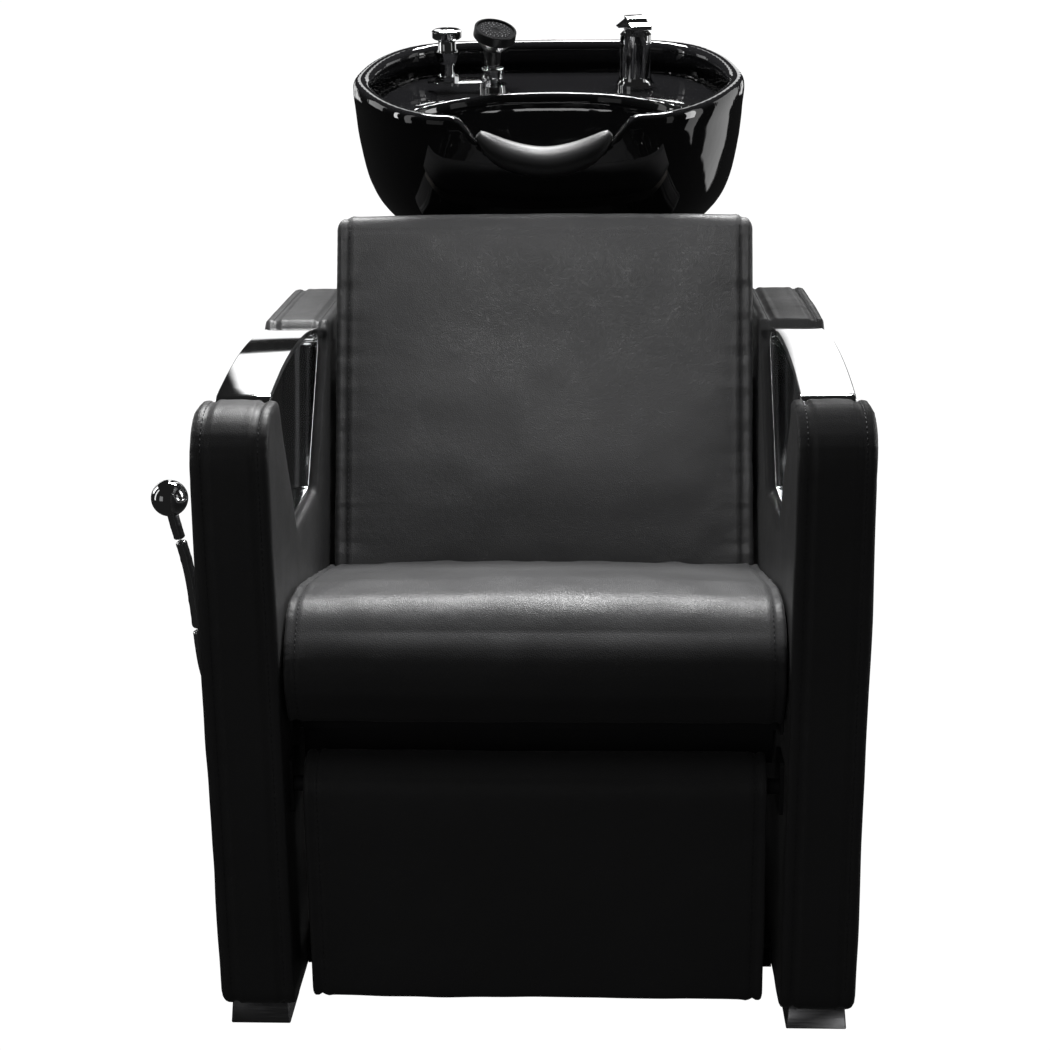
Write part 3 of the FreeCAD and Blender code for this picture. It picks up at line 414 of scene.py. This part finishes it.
def outline_row(x, steps, clearance=20):
    return [needle(x, point + outward * clearance, outward) for point, outward in steps]


def add_stitch(verts, faces, centres, normal):
    """One short thread tube through the ring centres, closed at both ends."""
    normal /= np.linalg.norm(normal) + 1e-9
    tangent = centres[-1] - centres[0]
    tangent /= np.linalg.norm(tangent) + 1e-9
    sideways = np.cross(tangent, normal)
    base = len(verts)
    radius = THREAD_RADIUS
    for centre, (_, factor, rise) in zip(centres, STITCH_RINGS):
        for k in range(THREAD_SIDES):
            theta = math.pi / 3 * k
            verts.append(centre + normal * (radius * rise + radius * factor * math.sin(theta))
                         + sideways * radius * factor * math.cos(theta))
    last = THREAD_SIDES * (len(STITCH_RINGS) - 1)
    for ring in range(0, last, THREAD_SIDES):
        for k in range(THREAD_SIDES):
            a, b = base + ring + k, base + ring + (k + 1) % THREAD_SIDES
            faces.append((a, b, b + THREAD_SIDES, a + THREAD_SIDES))
    faces.append(tuple(base + k for k in reversed(range(THREAD_SIDES))))
    faces.append(tuple(base + last + k for k in range(THREAD_SIDES)))


def add_stitches(name, cover, rows, body):
    """Lay thread where each row of needle rays meets the cover."""
    surface = BVHTree.FromPolygons([Vector(point) for point in read_vertices(cover.data, "co")],
                                   [tuple(face.vertices) for face in cover.data.polygons])
    verts, faces = [], []
    for row in rows:
        hits, normals = [], []
        for origin, direction in row:
            hit, normal, _, _ = surface.ray_cast(Vector(origin), Vector(direction).normalized(),
                                                 NEEDLE_REACH)
            if hit is not None:
                hits.append(np.array(hit))
                normals.append(np.array(normal))
        if len(hits) < 3:
            continue
        hits, normals = np.array(hits), np.array(normals)
        steps = np.linalg.norm(np.diff(hits, axis=0), axis=1)
        travelled = np.concatenate([[0], np.cumsum(steps)])

        def sample(distance, values):
            return np.array([np.interp(distance, travelled, values[:, axis])
                             for axis in range(3)])

        start = 0.5 * STITCH_PITCH
        while start + STITCH_LENGTH < travelled[-1]:
            centres = [sample(start + STITCH_LENGTH * share, hits)
                       for share, _, _ in STITCH_RINGS]
            add_stitch(verts, faces, centres, sample(start + STITCH_LENGTH / 2, normals))
            start += STITCH_PITCH
    mesh = bpy.data.meshes.new(name)
    mesh.from_pydata([(x, y, z + LIFT) for x, y, z in verts], [], faces)
    shade_smooth(mesh)
    thread = add_object(name, mesh, THREAD)
    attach(thread, body)


# ---------------------------------------------------------------- covers
def start_cover(piece, outline, x_range, edge_weight, bevel, voxel=0.0036):
    """Extrude an outline (mm) across X, round its cap edges and remesh it finely.

    edge_weight gives the share of the bevel (mm) from an outline edge's midpoint.
    Returns the cover, its points and its normals.
    """
    name = piece + "_cover"
    count = len(outline)
    verts = [outline_to_world(x * MM, point) for x in x_range for point in outline]
    faces = [list(range(count)), list(range(2 * count - 1, count - 1, -1))]
    faces += [[i, (i + 1) % count, count + (i + 1) % count, count + i] for i in range(count)]
    mesh = bpy.data.meshes.new(name)
    mesh.from_pydata(verts, [], faces)
    bm = bmesh.new()
    bm.from_mesh(mesh)
    bmesh.ops.recalc_face_normals(bm, faces=bm.faces)
    weights = bm.edges.layers.float.new("bevel_weight_edge")
    for edge in bm.edges:
        low, high = sorted(vert.index for vert in edge.verts)
        if high < count or low >= count:
            edge[weights] = edge_weight(0.5 * (outline[low % count] + outline[high % count]))
    bm.to_mesh(mesh)
    bm.free()
    cover = add_object(name, mesh, MATERIALS[LEATHER])
    rounding = cover.modifiers.new("bevel", "BEVEL")
    rounding.width = bevel * MM
    rounding.segments = 5
    rounding.limit_method = "WEIGHT"
    rounding.use_clamp_overlap = True
    voxel_remesh(cover, voxel, smoothing=3)
    return cover, read_vertices(cover.data, "co"), read_vertices(cover.data, "normal")


def finish_cover(cover, points, normals, height, piece, body, node, rows):
    """Push the leather out by the height, stitch it and raise it into place."""
    points += normals * height[:, None]
    store_points(cover.data, points)
    register(cover, body, node)
    add_stitches(piece + "_stitches", cover, rows, body)
    points = read_vertices(cover.data, "co")
    points[:, 2] += LIFT
    store_points(cover.data, points)
    return cover


# Cover outlines: y, z, corner radius (mm), clockwise seen with y to the right and z up.
ARM_BOTTOM = 30 - LIFT * 1000    # stands 30 mm above the floor once raised
ARM_X = (252.8, 329.6)    # inner and outer face of an arm, from the middle
ARM_OUTLINE = rounded_outline([
    (0, ARM_BOTTOM, 22), (0, 652.5, 52), (86, 653, 6), (81, 646, 3), (158, 494, 16),
    (309, 494, 16), (437, 648, 3), (436, 657, 4), (449, 667, 8), (700, 667, 26),
    (700, ARM_BOTTOM, 20)])
SEAT_OUTLINE = rounded_outline([
    (24, 330, 9), (6, 368, 20), (4, 408, 58), (48, 450, 50), (120, 446, 100),
    (366.5, 392, 9), (353, 350, 3), (346, 305, 3), (48, 350, 2), (48, 331, 4)], segments=9)
LEG_OUTLINE = rounded_outline([
    (5, 26, 14), (5, 292, 35), (75, 292, 34.9), (75, 26, 8)], segments=9)


def arm_edge_weight(middle):
    y, z = middle
    in_notch = 78 < y < 436 and 490 < z < 662
    return 0.50 if in_notch else 1.0


def arm_rows(sign):
    steps = walk_outline(ARM_OUTLINE)
    front = [(p, out) for p, out in steps
             if p[0] < 80 and p[1] > 40 and (p[1] > 640 or p[0] < 40)]
    back = [(p, out) for p, out in steps if p[0] > 440 and p[1] > 60]
    return [outline_row(sign * x, part) for x in (0.2632, 0.3193) for part in (front, back)]


def make_arm(side):
    left = side == "left"
    sign = -1 if left else 1
    piece = side + "_arm"
    cover, points, normals = start_cover(piece, ARM_OUTLINE, sorted(sign * x for x in ARM_X),
                                         arm_edge_weight, bevel=13.5, voxel=0.0034)
    from_middle = np.abs(points[:, 0])
    y, z = points[:, 1] + SHIFT, points[:, 2]
    face = smooth_step(np.abs(normals[:, 0]), 0.6, 0.95)
    outer = normals[:, 0] * sign > 0
    swell = crown(y, centre=0.34, half=0.36) * crown(z, centre=0.30, half=0.29)
    height = face * outer * 0.0045 * np.sqrt(swell + 1e-6)
    # the narrow faces crown a little between the seams
    rim = 1 - smooth_step(np.abs(normals[:, 0]), 0.35, 0.7)
    height += rim * 0.0012 * crown(from_middle, centre=sum(ARM_X) / 2 * MM, half=0.026)
    along = np.where(z < 0.62, z, y + 0.7)
    for seam_x, seed in ((0.2665, 3), (0.3160, 9)):
        sew_seam(height, rim, np.abs(from_middle - seam_x), along, width=0.0024, depth=0.0021,
                 reach=0.007, strength=0.00040, seed=seed + (0 if left else 5))
    height += (0.0009 * value_noise(points, size=0.11, seed=21 if left else 22)
               + 0.0004 * value_noise(points, size=0.035, seed=23))
    # slack at the top of the post where the cover tucks under the band
    tuck = bell(y, centre=0.075, width=0.022) * smooth_step(z, 0.60, 0.65)
    height += tuck * 0.0010 * value_noise(points * np.array([1, 0.3, 1]), size=0.012, seed=31)
    return finish_cover(cover, points, normals, height, piece, "frame",
                        side + "_arm_upholstery", arm_rows(sign))


def make_seat():
    cover, points, normals = start_cover(
        "seat", SEAT_OUTLINE, (-250.8, 250.8),
        lambda middle: 1.0 if middle[0] < 45 or middle[1] > 385 else 0.3, bevel=10)
    x, y, z = points[:, 0], points[:, 1] + SHIFT, points[:, 2]
    top = facing(normals[:, 2])
    front = facing(-normals[:, 1])
    across = crown(x, centre=0, half=0.243)
    deep = crown(y, centre=0.20, half=0.175)
    height = top * 0.0105 * np.power(across, 0.6) * np.power(deep, 0.7)
    height += front * 0.0045 * np.power(across, 0.5) * crown(z, centre=0.39, half=0.06)
    rim = 1 - smooth_step(np.abs(normals[:, 0]), 0.45, 0.8)
    sew_seam(height, rim, np.abs(np.abs(x) - 0.2415), y - z, width=0.0025, depth=0.0024,
             reach=0.012, strength=0.0009, seed=41)
    height += (0.0011 * value_noise(points, size=0.10, seed=43)
               + 0.0005 * value_noise(points, size=0.03, seed=44))
    # soft creases near the back of the seat
    crease = bell(y, centre=0.335, width=0.03) * top
    height += crease * 0.0016 * value_noise(points * np.array([1, 0.35, 1]), size=0.022, seed=45)
    steps = [(p, out) for p, out in walk_outline(SEAT_OUTLINE)
             if (p[0] < 45 and p[1] > 335) or p[1] > 396]
    rows = [outline_row(row_x, steps) for row_x in (-0.2380, 0.2380)]
    return finish_cover(cover, points, normals, height, "seat", "frame", "seat_cushion", rows)


# The back leans: BACK_UP runs up its front face and BACK_IN goes from that face to the rear.
BACK_FOOT, BACK_HEAD = np.array([372.0, 390.0]), np.array([503.0, 785.0])
BACK_LENGTH = float(np.linalg.norm(BACK_HEAD - BACK_FOOT))
BACK_UP = (BACK_HEAD - BACK_FOOT) / BACK_LENGTH
BACK_IN = np.array([BACK_UP[1], -BACK_UP[0]])
BACK_THICK = 63.5
BACK_HALF_WIDTH = 247
BACK_OUTLINE = rounded_outline([
    (*(BACK_FOOT + BACK_UP * up + BACK_IN * depth), radius)
    for up, depth, radius in ((-40, 0, 10), (BACK_LENGTH, 0, 20),
                              (BACK_LENGTH, BACK_THICK, 14), (-40, BACK_THICK, 6))])


def round_back_corners(points, up, radius=0.022):
    """Round the two top corners of the back as seen from the front."""
    inner_x, inner_up = BACK_HALF_WIDTH * MM - radius, BACK_LENGTH / 1000 - radius
    beyond_x, beyond_up = np.abs(points[:, 0]) - inner_x, up - inner_up
    in_corner = (beyond_x > 0) & (beyond_up > 0)
    distance = np.hypot(beyond_x, beyond_up)
    pull = np.where(in_corner & (distance > 1e-9),
                    np.minimum(1.0, radius / np.maximum(distance, 1e-9)), 1.0)
    points[:, 0] = np.where(in_corner, np.sign(points[:, 0]) * (inner_x + beyond_x * pull),
                            points[:, 0])
    drop = np.where(in_corner, beyond_up * (pull - 1), 0.0)
    points[:, 1] += drop * BACK_UP[0]
    points[:, 2] += drop * BACK_UP[1]


def back_row(x):
    """Up the front face, then over the top."""
    front = [needle(x, BACK_FOOT + BACK_UP * (BACK_LENGTH - 12) * k / 99 - BACK_IN * 30, -BACK_IN)
             for k in range(100)]
    top = [needle(x, BACK_FOOT + BACK_UP * (BACK_LENGTH + 30) + BACK_IN * (14 + 40 * k / 19),
                  BACK_UP) for k in range(20)]
    return front + top


def make_back():
    cover, points, normals = start_cover(
        "back", BACK_OUTLINE, (-BACK_HALF_WIDTH, BACK_HALF_WIDTH),
        lambda middle: 1.0 if (middle - BACK_FOOT) @ BACK_IN < 55 else 0.35, bevel=13)
    in_outline = np.stack([(points[:, 1] + SHIFT) * 1000, points[:, 2] * 1000], 1)
    up = (in_outline - BACK_FOOT) @ BACK_UP / 1000
    round_back_corners(points, up)
    x = points[:, 0]
    front = facing(-(normals[:, 1] * BACK_IN[0] + normals[:, 2] * BACK_IN[1]))
    top = facing(normals[:, 1] * BACK_UP[0] + normals[:, 2] * BACK_UP[1])
    across = crown(x, centre=0, half=0.238)
    tall = crown(up, centre=0.19, half=0.205)
    height = front * (0.0105 * np.power(across, 0.55) * np.power(tall, 0.6))
    # lumbar fullness low down, slight hollow above it
    height += front * across * (0.0035 * bell(up, centre=0.10, width=0.07)
                                - 0.0025 * bell(up, centre=0.27, width=0.06))
    height += top * 0.0032 * np.power(across, 0.6)
    rim = 1 - smooth_step(np.abs(normals[:, 0]), 0.45, 0.8)
    sew_seam(height, rim, np.abs(np.abs(x) - 0.2345), up, width=0.0025, depth=0.0022,
             reach=0.012, strength=0.0008, seed=51)
    height += (0.0012 * value_noise(points, size=0.12, seed=53)
               + 0.0005 * value_noise(points, size=0.034, seed=54))
    return finish_cover(cover, points, normals, height, "back", "frame", "back_cushion",
                        [back_row(-0.2310), back_row(0.2310)])


def leg_row(x):
    """Up the front face, then round the top."""
    row = [needle(x, (-30, 40 + (255 - 40) * k / 60), (-1, 0)) for k in range(61)]
    for k in range(1, 30):
        angle = math.radians(180 - 6 * k)
        outward = (math.cos(angle), math.sin(angle))
        row.append(needle(x, (40 + 60 * outward[0], 257 + 60 * outward[1]), outward))
    return row


def make_leg_rest():
    cover, points, normals = start_cover(
        "leg_rest", LEG_OUTLINE, (-234.6, 234.6),
        lambda middle: 1.0 if middle[0] < 60 else 0.4, bevel=11)
    x, z = points[:, 0], points[:, 2]
    across = crown(x, centre=0, half=0.226)
    tall = crown(z, centre=0.150, half=0.125)
    height = facing(-normals[:, 1]) * 0.0065 * np.power(across, 0.5) * np.power(tall, 0.6)
    rim = 1 - smooth_step(np.abs(normals[:, 0]), 0.45, 0.8)
    sew_seam(height, rim, np.abs(np.abs(x) - 0.2245), z, width=0.0025, depth=0.0021,
             reach=0.010, strength=0.0006, seed=61)
    height += (0.0010 * value_noise(points, size=0.11, seed=63)
               + 0.0004 * value_noise(points, size=0.032, seed=64))
    # the rear face stays flat
    height *= 1 - smooth_step(normals[:, 1], 0.5, 0.9)
    return finish_cover(cover, points, normals, height, "leg_rest", "leg_rest",
                        "leg_rest_cushion", [leg_row(-0.2210), leg_row(0.2210)])


# ---------------------------------------------------------------- refined CAD pieces
def copy_node(name, tag=""):
    mesh = frame["nodes"][name].data.copy()
    return add_object("fine_" + name + tag, mesh, MATERIALS[SLOT[name]])


def weld(bm):
    bmesh.ops.remove_doubles(bm, verts=bm.verts, dist=2e-6)


def clean(name, bevel=0.0, sharp_angle=35):
    """The same shape with welded vertices, smooth normals and a small edge bevel."""
    piece = copy_node(name)
    bm = bmesh.new()
    bm.from_mesh(piece.data)
    weld(bm)
    for face in bm.faces:
        face.smooth = True
    for edge in bm.edges:
        sharp = (len(edge.link_faces) == 2
                 and edge.calc_face_angle(0.0) > math.radians(sharp_angle))
        edge.smooth = not sharp
    bm.to_mesh(piece.data)
    bm.free()
    if bevel:
        rounding = piece.modifiers.new("bevel", "BEVEL")
        rounding.width = bevel
        rounding.segments = 2
        rounding.limit_method = "ANGLE"
        rounding.angle_limit = math.radians(40)
        rounding.use_clamp_overlap = True
        rounding.harden_normals = True
        apply_modifiers(piece)
    register(piece, BODY[name], name)
    return piece


def soften(name, voxel, smoothing):
    """The same shape remeshed finely and smoothed."""
    piece = copy_node(name)
    voxel_remesh(piece, voxel, smoothing)
    shade_smooth(piece.data)
    register(piece, BODY[name], name)
    return piece


def part_of(name, tag="", keep=lambda x, y, z: True):
    """The faces of a node whose centre passes keep(x, y, z), as their own object."""
    piece = copy_node(name, tag)
    bm = bmesh.new()
    bm.from_mesh(piece.data)
    weld(bm)
    dropped = [face for face in bm.faces if not keep(*face.calc_center_median())]
    bmesh.ops.delete(bm, geom=dropped, context="FACES")
    for face in bm.faces:
        face.smooth = True
    bm.to_mesh(piece.data)
    bm.free()
    return piece


left_arm, right_arm = make_arm("left"), make_arm("right")
make_seat()
back = make_back()
make_leg_rest()
soften("bowl", voxel=0.0024, smoothing=10)
neck = soften("neck_rest", voxel=0.0018, smoothing=14)
for name in ("left_armrest_trim", "right_armrest_trim"):
    clean(name, sharp_angle=30)
for name in ("side_lever", "lever_shaft"):
    clean(name)
taps = [clean(name, bevel=0.0005) for name in (
    "mixer_body", "mixer_turret", "mixer_lever", "breaker_base", "breaker_body",
    "breaker_cap", "spray_holder", "hose_ferrule", "waste_flange", "strainer")]
spray = [clean("spray_handle", bevel=0.0008), clean("spray_head", bevel=0.0004)]
feet = clean("feet", bevel=0.0006)


# ---------------------------------------------------------------- hoses and hand spray
# Bowl frame (mm): u across, v back along the tilted bowl, w square to it.
BOWL_TILT = math.atan(0.17)
BOWL_Y, BOWL_Z = 525, 893


def on_bowl(u, v, w):
    cos, sin = math.cos(BOWL_TILT), math.sin(BOWL_TILT)
    return (u * MM, (BOWL_Y + v * cos - w * sin) * MM - SHIFT,
            (BOWL_Z + v * sin + w * cos) * MM + LIFT)


def bowl_w(y, z):
    return (-(y + SHIFT - BOWL_Y * MM) * math.sin(BOWL_TILT)
            + (z - LIFT - BOWL_Z * MM) * math.cos(BOWL_TILT)) * 1000


def in_straight_run(x, y, z):
    return x > -0.092 and bowl_w(y, z) > -122


def make_hoses():
    for name, low, high in (("waste_hose", 0.40, 0.64), ("supply_hoses", 0.40, 0.72)):
        hose = part_of(name)
        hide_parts(name)
        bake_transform(hose)
    # on the real unit the straight run of the spray hose stretches when the spray is lifted and its
    # loop stays; here the hose is cut in two and only the loop rides with the basin
    name = "spray_hose"
    loop = part_of(name, "_loop", lambda x, y, z: not in_straight_run(x, y, z))
    register(loop, "basin", name)
    run = part_of(name, "_run", in_straight_run)
    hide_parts(name)
    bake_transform(run)


SPRAY_CENTRE = Vector((-75.0, 348.0, 26.0))    # in the bowl frame
SPRAY_AXIS = Vector((0.20, -0.27, 0.94)).normalized()
SPRAY_FACE = 10.7    # centre to spray face along the axis
NOZZLE_CIRCLES = ((8.5, 8), (12.5, 12), (16.5, 18), (19.5, 22))    # radius, nozzle count
NOZZLE_PROFILE = ((0.95, 0.0), (0.85, 0.7), (0.55, 1.15), (0.25, 1.2))    # radius, height
NOZZLE_SIDES = 10


def make_nozzles():
    """Rubber nozzles in rings on the spray face."""
    first = SPRAY_AXIS.cross(Vector((0, 1, 0))).normalized()
    second = SPRAY_AXIS.cross(first)

    def around(angle):
        return first * math.cos(angle) + second * math.sin(angle)

    bm = bmesh.new()
    for circle, count in NOZZLE_CIRCLES:
        stagger = 0.5 * (circle > 10)    # all but the innermost ring turn by half a step
        for k in range(count):
            angle = 2 * math.pi * (k + stagger) / count
            base = SPRAY_CENTRE + SPRAY_AXIS * SPRAY_FACE + around(angle) * circle
            rings = [[bm.verts.new(on_bowl(*(base + SPRAY_AXIS * height
                                             + around(2 * math.pi * j / NOZZLE_SIDES) * radius)))
                      for j in range(NOZZLE_SIDES)] for radius, height in NOZZLE_PROFILE]
            for low, high in zip(rings, rings[1:]):
                for j in range(NOZZLE_SIDES):
                    after = (j + 1) % NOZZLE_SIDES
                    bm.faces.new((low[j], low[after], high[after], high[j]))
            bm.faces.new(rings[-1])
            bm.faces.new(list(reversed(rings[0])))
    bmesh.ops.recalc_face_normals(bm, faces=bm.faces)
    for face in bm.faces:
        face.smooth = True
    mesh = bpy.data.meshes.new("nozzles")
    bm.to_mesh(mesh)
    bm.free()
    nozzles = add_object("spray_nozzles", mesh, NOZZLE)
    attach(nozzles, "hand_spray")


def make_lever_ball():
    low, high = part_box("lever_ball")
    centre = (np.array(low) + np.array(high)) / 2
    bpy.ops.mesh.primitive_uv_sphere_add(segments=96, ring_count=48, radius=0.020,
                                         location=tuple(centre))
    ball = bpy.context.object
    ball.name = "lever_ball_fine"
    ball.data.materials.append(MATERIALS["polished_chrome"])
    shade_smooth(ball.data)
    register(ball, "lever", "lever_ball")


make_hoses()
make_nozzles()
make_lever_ball()


# ---------------------------------------------------------------- stage and lights
def make_floor():
    """White floor that only the camera sees."""
    material = bpy.data.materials.new("m_sweep")
    material.use_nodes = True
    tree = material.node_tree
    tree.nodes.clear()
    glow = add_node(tree, "ShaderNodeEmission", Strength=BACKDROP)
    output = add_node(tree, "ShaderNodeOutputMaterial")
    tree.links.new(glow.outputs[0], output.inputs["Surface"])
    bpy.ops.mesh.primitive_plane_add(size=1, location=(0, 0, 0), rotation=(0, 0, 0))
    floor = bpy.context.object
    floor.name = "floor"
    floor.scale = (30, 30, 1)
    floor.data.materials.append(material)
    floor.visible_diffuse = False
    floor.visible_glossy = False
    floor.visible_transmission = False
    floor.visible_shadow = False


def add_light(name, kind, location, target, power):
    data = bpy.data.lights.new(name, kind)
    data.energy = power
    lamp = bpy.data.objects.new(name, data)
    bpy.context.scene.collection.objects.link(lamp)
    lamp.location = location
    direction = Vector(target) - Vector(location)
    lamp.rotation_euler = direction.to_track_quat("-Z", "Y").to_euler()
    return lamp


def area(name, location, target, size, power, glossy=True):
    lamp = add_light(name, "AREA", location, target, power)
    lamp.data.shape = "RECTANGLE"
    lamp.data.size, lamp.data.size_y = size
    lamp.visible_glossy = glossy
    return lamp


def link_light(lamp, pieces, state="INCLUDE"):
    """Light only these pieces, or all but these with EXCLUDE."""
    receivers = bpy.data.collections.new(lamp.name + "_set")
    for piece in pieces:
        receivers.objects.link(piece)
    for entry in receivers.collection_objects:
        entry.light_linking.link_state = state
    lamp.light_linking.receiver_collection = receivers


def make_lights():
    top = area("top", location=(0.0, 0.25, 3.0), target=(0, -0.45, 0.5), size=(0.9, 0.6),
               power=165, glossy=False)
    link_light(top, [left_arm, right_arm], "EXCLUDE")
    for sign, power in ((-1, 34), (1, 26)):
        arm_top = area("arm_top", location=(sign * 0.75, 0.20, 2.9),
                       target=(sign * 0.30, -0.25, 0.6), size=(0.5, 0.7), power=power,
                       glossy=False)
        link_light(arm_top, [left_arm, right_arm])
    spot = add_light("back_spot", "SPOT", location=(0.03, -2.30, 2.20),
                     target=(0.01, -0.34, 0.60), power=92)
    spot.data.spot_size = math.radians(26)
    spot.data.spot_blend = 1.0
    spot.data.shadow_soft_size = 0.18
    link_light(spot, [back])
    back_top = area("back_top", location=(0.0, 1.3, 3.3), target=(0, -0.5, 0.5),
                    size=(1.7, 0.6), power=170)
    link_light(back_top, spray + [right_arm], "EXCLUDE")
    link_light(area("neck_top", location=(0.0, -0.42, 2.3), target=(0, -0.25, 0.86),
                    size=(0.35, 0.35), power=36), [neck])
    link_light(area("taps_card", location=(0.1, 1.55, 2.15), target=(0.0, 0.1, 0.92),
                    size=(0.9, 0.5), power=10), taps)
    area("fill", location=(-0.7, -3.4, 1.2), target=(0, -0.4, 0.4), size=(1.4, 1.4),
         power=8.0, glossy=False)
    link_light(area("feet_card", location=(0.8, -2.2, 1.1), target=(0.1, -0.66, 0.01),
                    size=(0.6, 0.6), power=60), [feet])
    area("side_left", location=(-2.2, 0.3, 1.3), target=(0, -0.1, 0.85), size=(0.16, 1.0),
         power=3.0)
    area("side_right", location=(2.1, 0.0, 1.25), target=(0, -0.1, 0.8), size=(0.42, 1.1),
         power=7.0)


# ---------------------------------------------------------------- world
# Bright windows for reflections: azimuth range (degrees from straight behind, + to the right),
# elevation range (degrees), brightness.
WINDOWS = (
    ((-13.5, -7.2), (17.5, 40), 1.0), ((-13.5, -7.2), (-9, 8.5), 0.85),
    ((5.2, 12.5), (-9, 40), 1.0), ((-34, -27), (-4, 11), 1.0),
    ((-25, -20), (-4, 11), 0.9), ((-60, -46), (2, 26), 0.8),
    ((24, 31), (-4, 13), 1.0), ((36, 56), (-20, 24), 0.55),
    ((70, 84), (-22, 35), 0.6), ((-98, -88), (-8, 40), 0.8),
    ((-2.4, 3.4), (2.0, 4.0), 0.9), ((110, 122), (-10, 25), 0.25),
    ((-150, -128), (-6, 20), 0.16),
)
WINDOW_EDGE = 0.5    # half the width of a window's soft edge, degrees
WINDOW_GAIN = 1.25
ROOM_GLOW = 0.012    # reflected brightness between the windows


def make_world():
    """The camera sees white, reflections see windows and other rays a dim gradient."""
    world = bpy.data.worlds.new("w")
    bpy.context.scene.world = world
    world.use_nodes = True
    tree = world.node_tree
    background = tree.nodes["Background"]
    rays = add_node(tree, "ShaderNodeLightPath").outputs
    direction = add_node(tree, "ShaderNodeTexCoord").outputs["Generated"]
    split = add_node(tree, "ShaderNodeSeparateXYZ")
    tree.links.new(direction, split.inputs[0])

    def calc(operation, *values):
        result = add_node(tree, "ShaderNodeMath", operation=operation)
        for index, value in enumerate(values):
            link_or_set(tree, result.inputs[index], value)
        return result.outputs[0]

    def choose(factor, otherwise, chosen):
        mix = add_node(tree, "ShaderNodeMix", data_type="FLOAT")
        tree.links.new(factor, mix.inputs[0])
        link_or_set(tree, mix.inputs[2], otherwise)
        link_or_set(tree, mix.inputs[3], chosen)
        return mix.outputs[0]

    def soft_band(angle, low, high):
        rise, fall = [
            map_range(tree, angle, source=(math.radians(start), math.radians(end)),
                      target=(0.0, 1.0), interpolation_type="SMOOTHSTEP")
            for start, end in ((low - WINDOW_EDGE, low + WINDOW_EDGE),
                               (high + WINDOW_EDGE, high - WINDOW_EDGE))]
        return calc("MULTIPLY", rise, fall)

    azimuth = calc("ARCTAN2", split.outputs["X"], split.outputs["Y"])
    elevation = calc("ARCSINE", split.outputs["Z"])
    total = None
    for azimuths, elevations, brightness in WINDOWS:
        shape = calc("MULTIPLY", soft_band(azimuth, *azimuths), soft_band(elevation, *elevations))
        window = calc("MULTIPLY", shape, brightness)
        total = window if total is None else calc("ADD", total, window)
    reflected = calc("ADD", calc("MULTIPLY", total, WINDOW_GAIN), ROOM_GLOW)
    gradient = map_range(tree, split.outputs["Z"], source=(-0.2, 1.0), target=(0.01, 0.10))
    seen = choose(rays["Is Glossy Ray"], gradient, reflected)
    strength = choose(rays["Is Camera Ray"], seen, BACKDROP)
    tree.links.new(strength, background.inputs["Strength"])
    set_inputs(background, {"Color": (1, 1, 1, 1)})


def make_camera():
    lens = bpy.data.cameras.new("cam")
    lens.sensor_width = 36.0
    lens.lens = 64.04
    lens.clip_end = 60
    camera = bpy.data.objects.new("cam", lens)
    bpy.context.scene.collection.objects.link(camera)
    camera.location = (0.0593, -1.7267 - SHIFT, 1.0506 + LIFT)
    heading, tilt, roll = (Matrix.Rotation(math.radians(angle), 3, axis) for angle, axis in
                           ((2.191, "Z"), (73.735, "X"), (-0.552, "Z")))
    camera.rotation_euler = (heading @ tilt @ roll).to_euler()
    bpy.context.scene.camera = camera


make_floor()
make_lights()
make_world()
make_camera()
bpy.context.scene.view_settings.view_transform = "Standard"
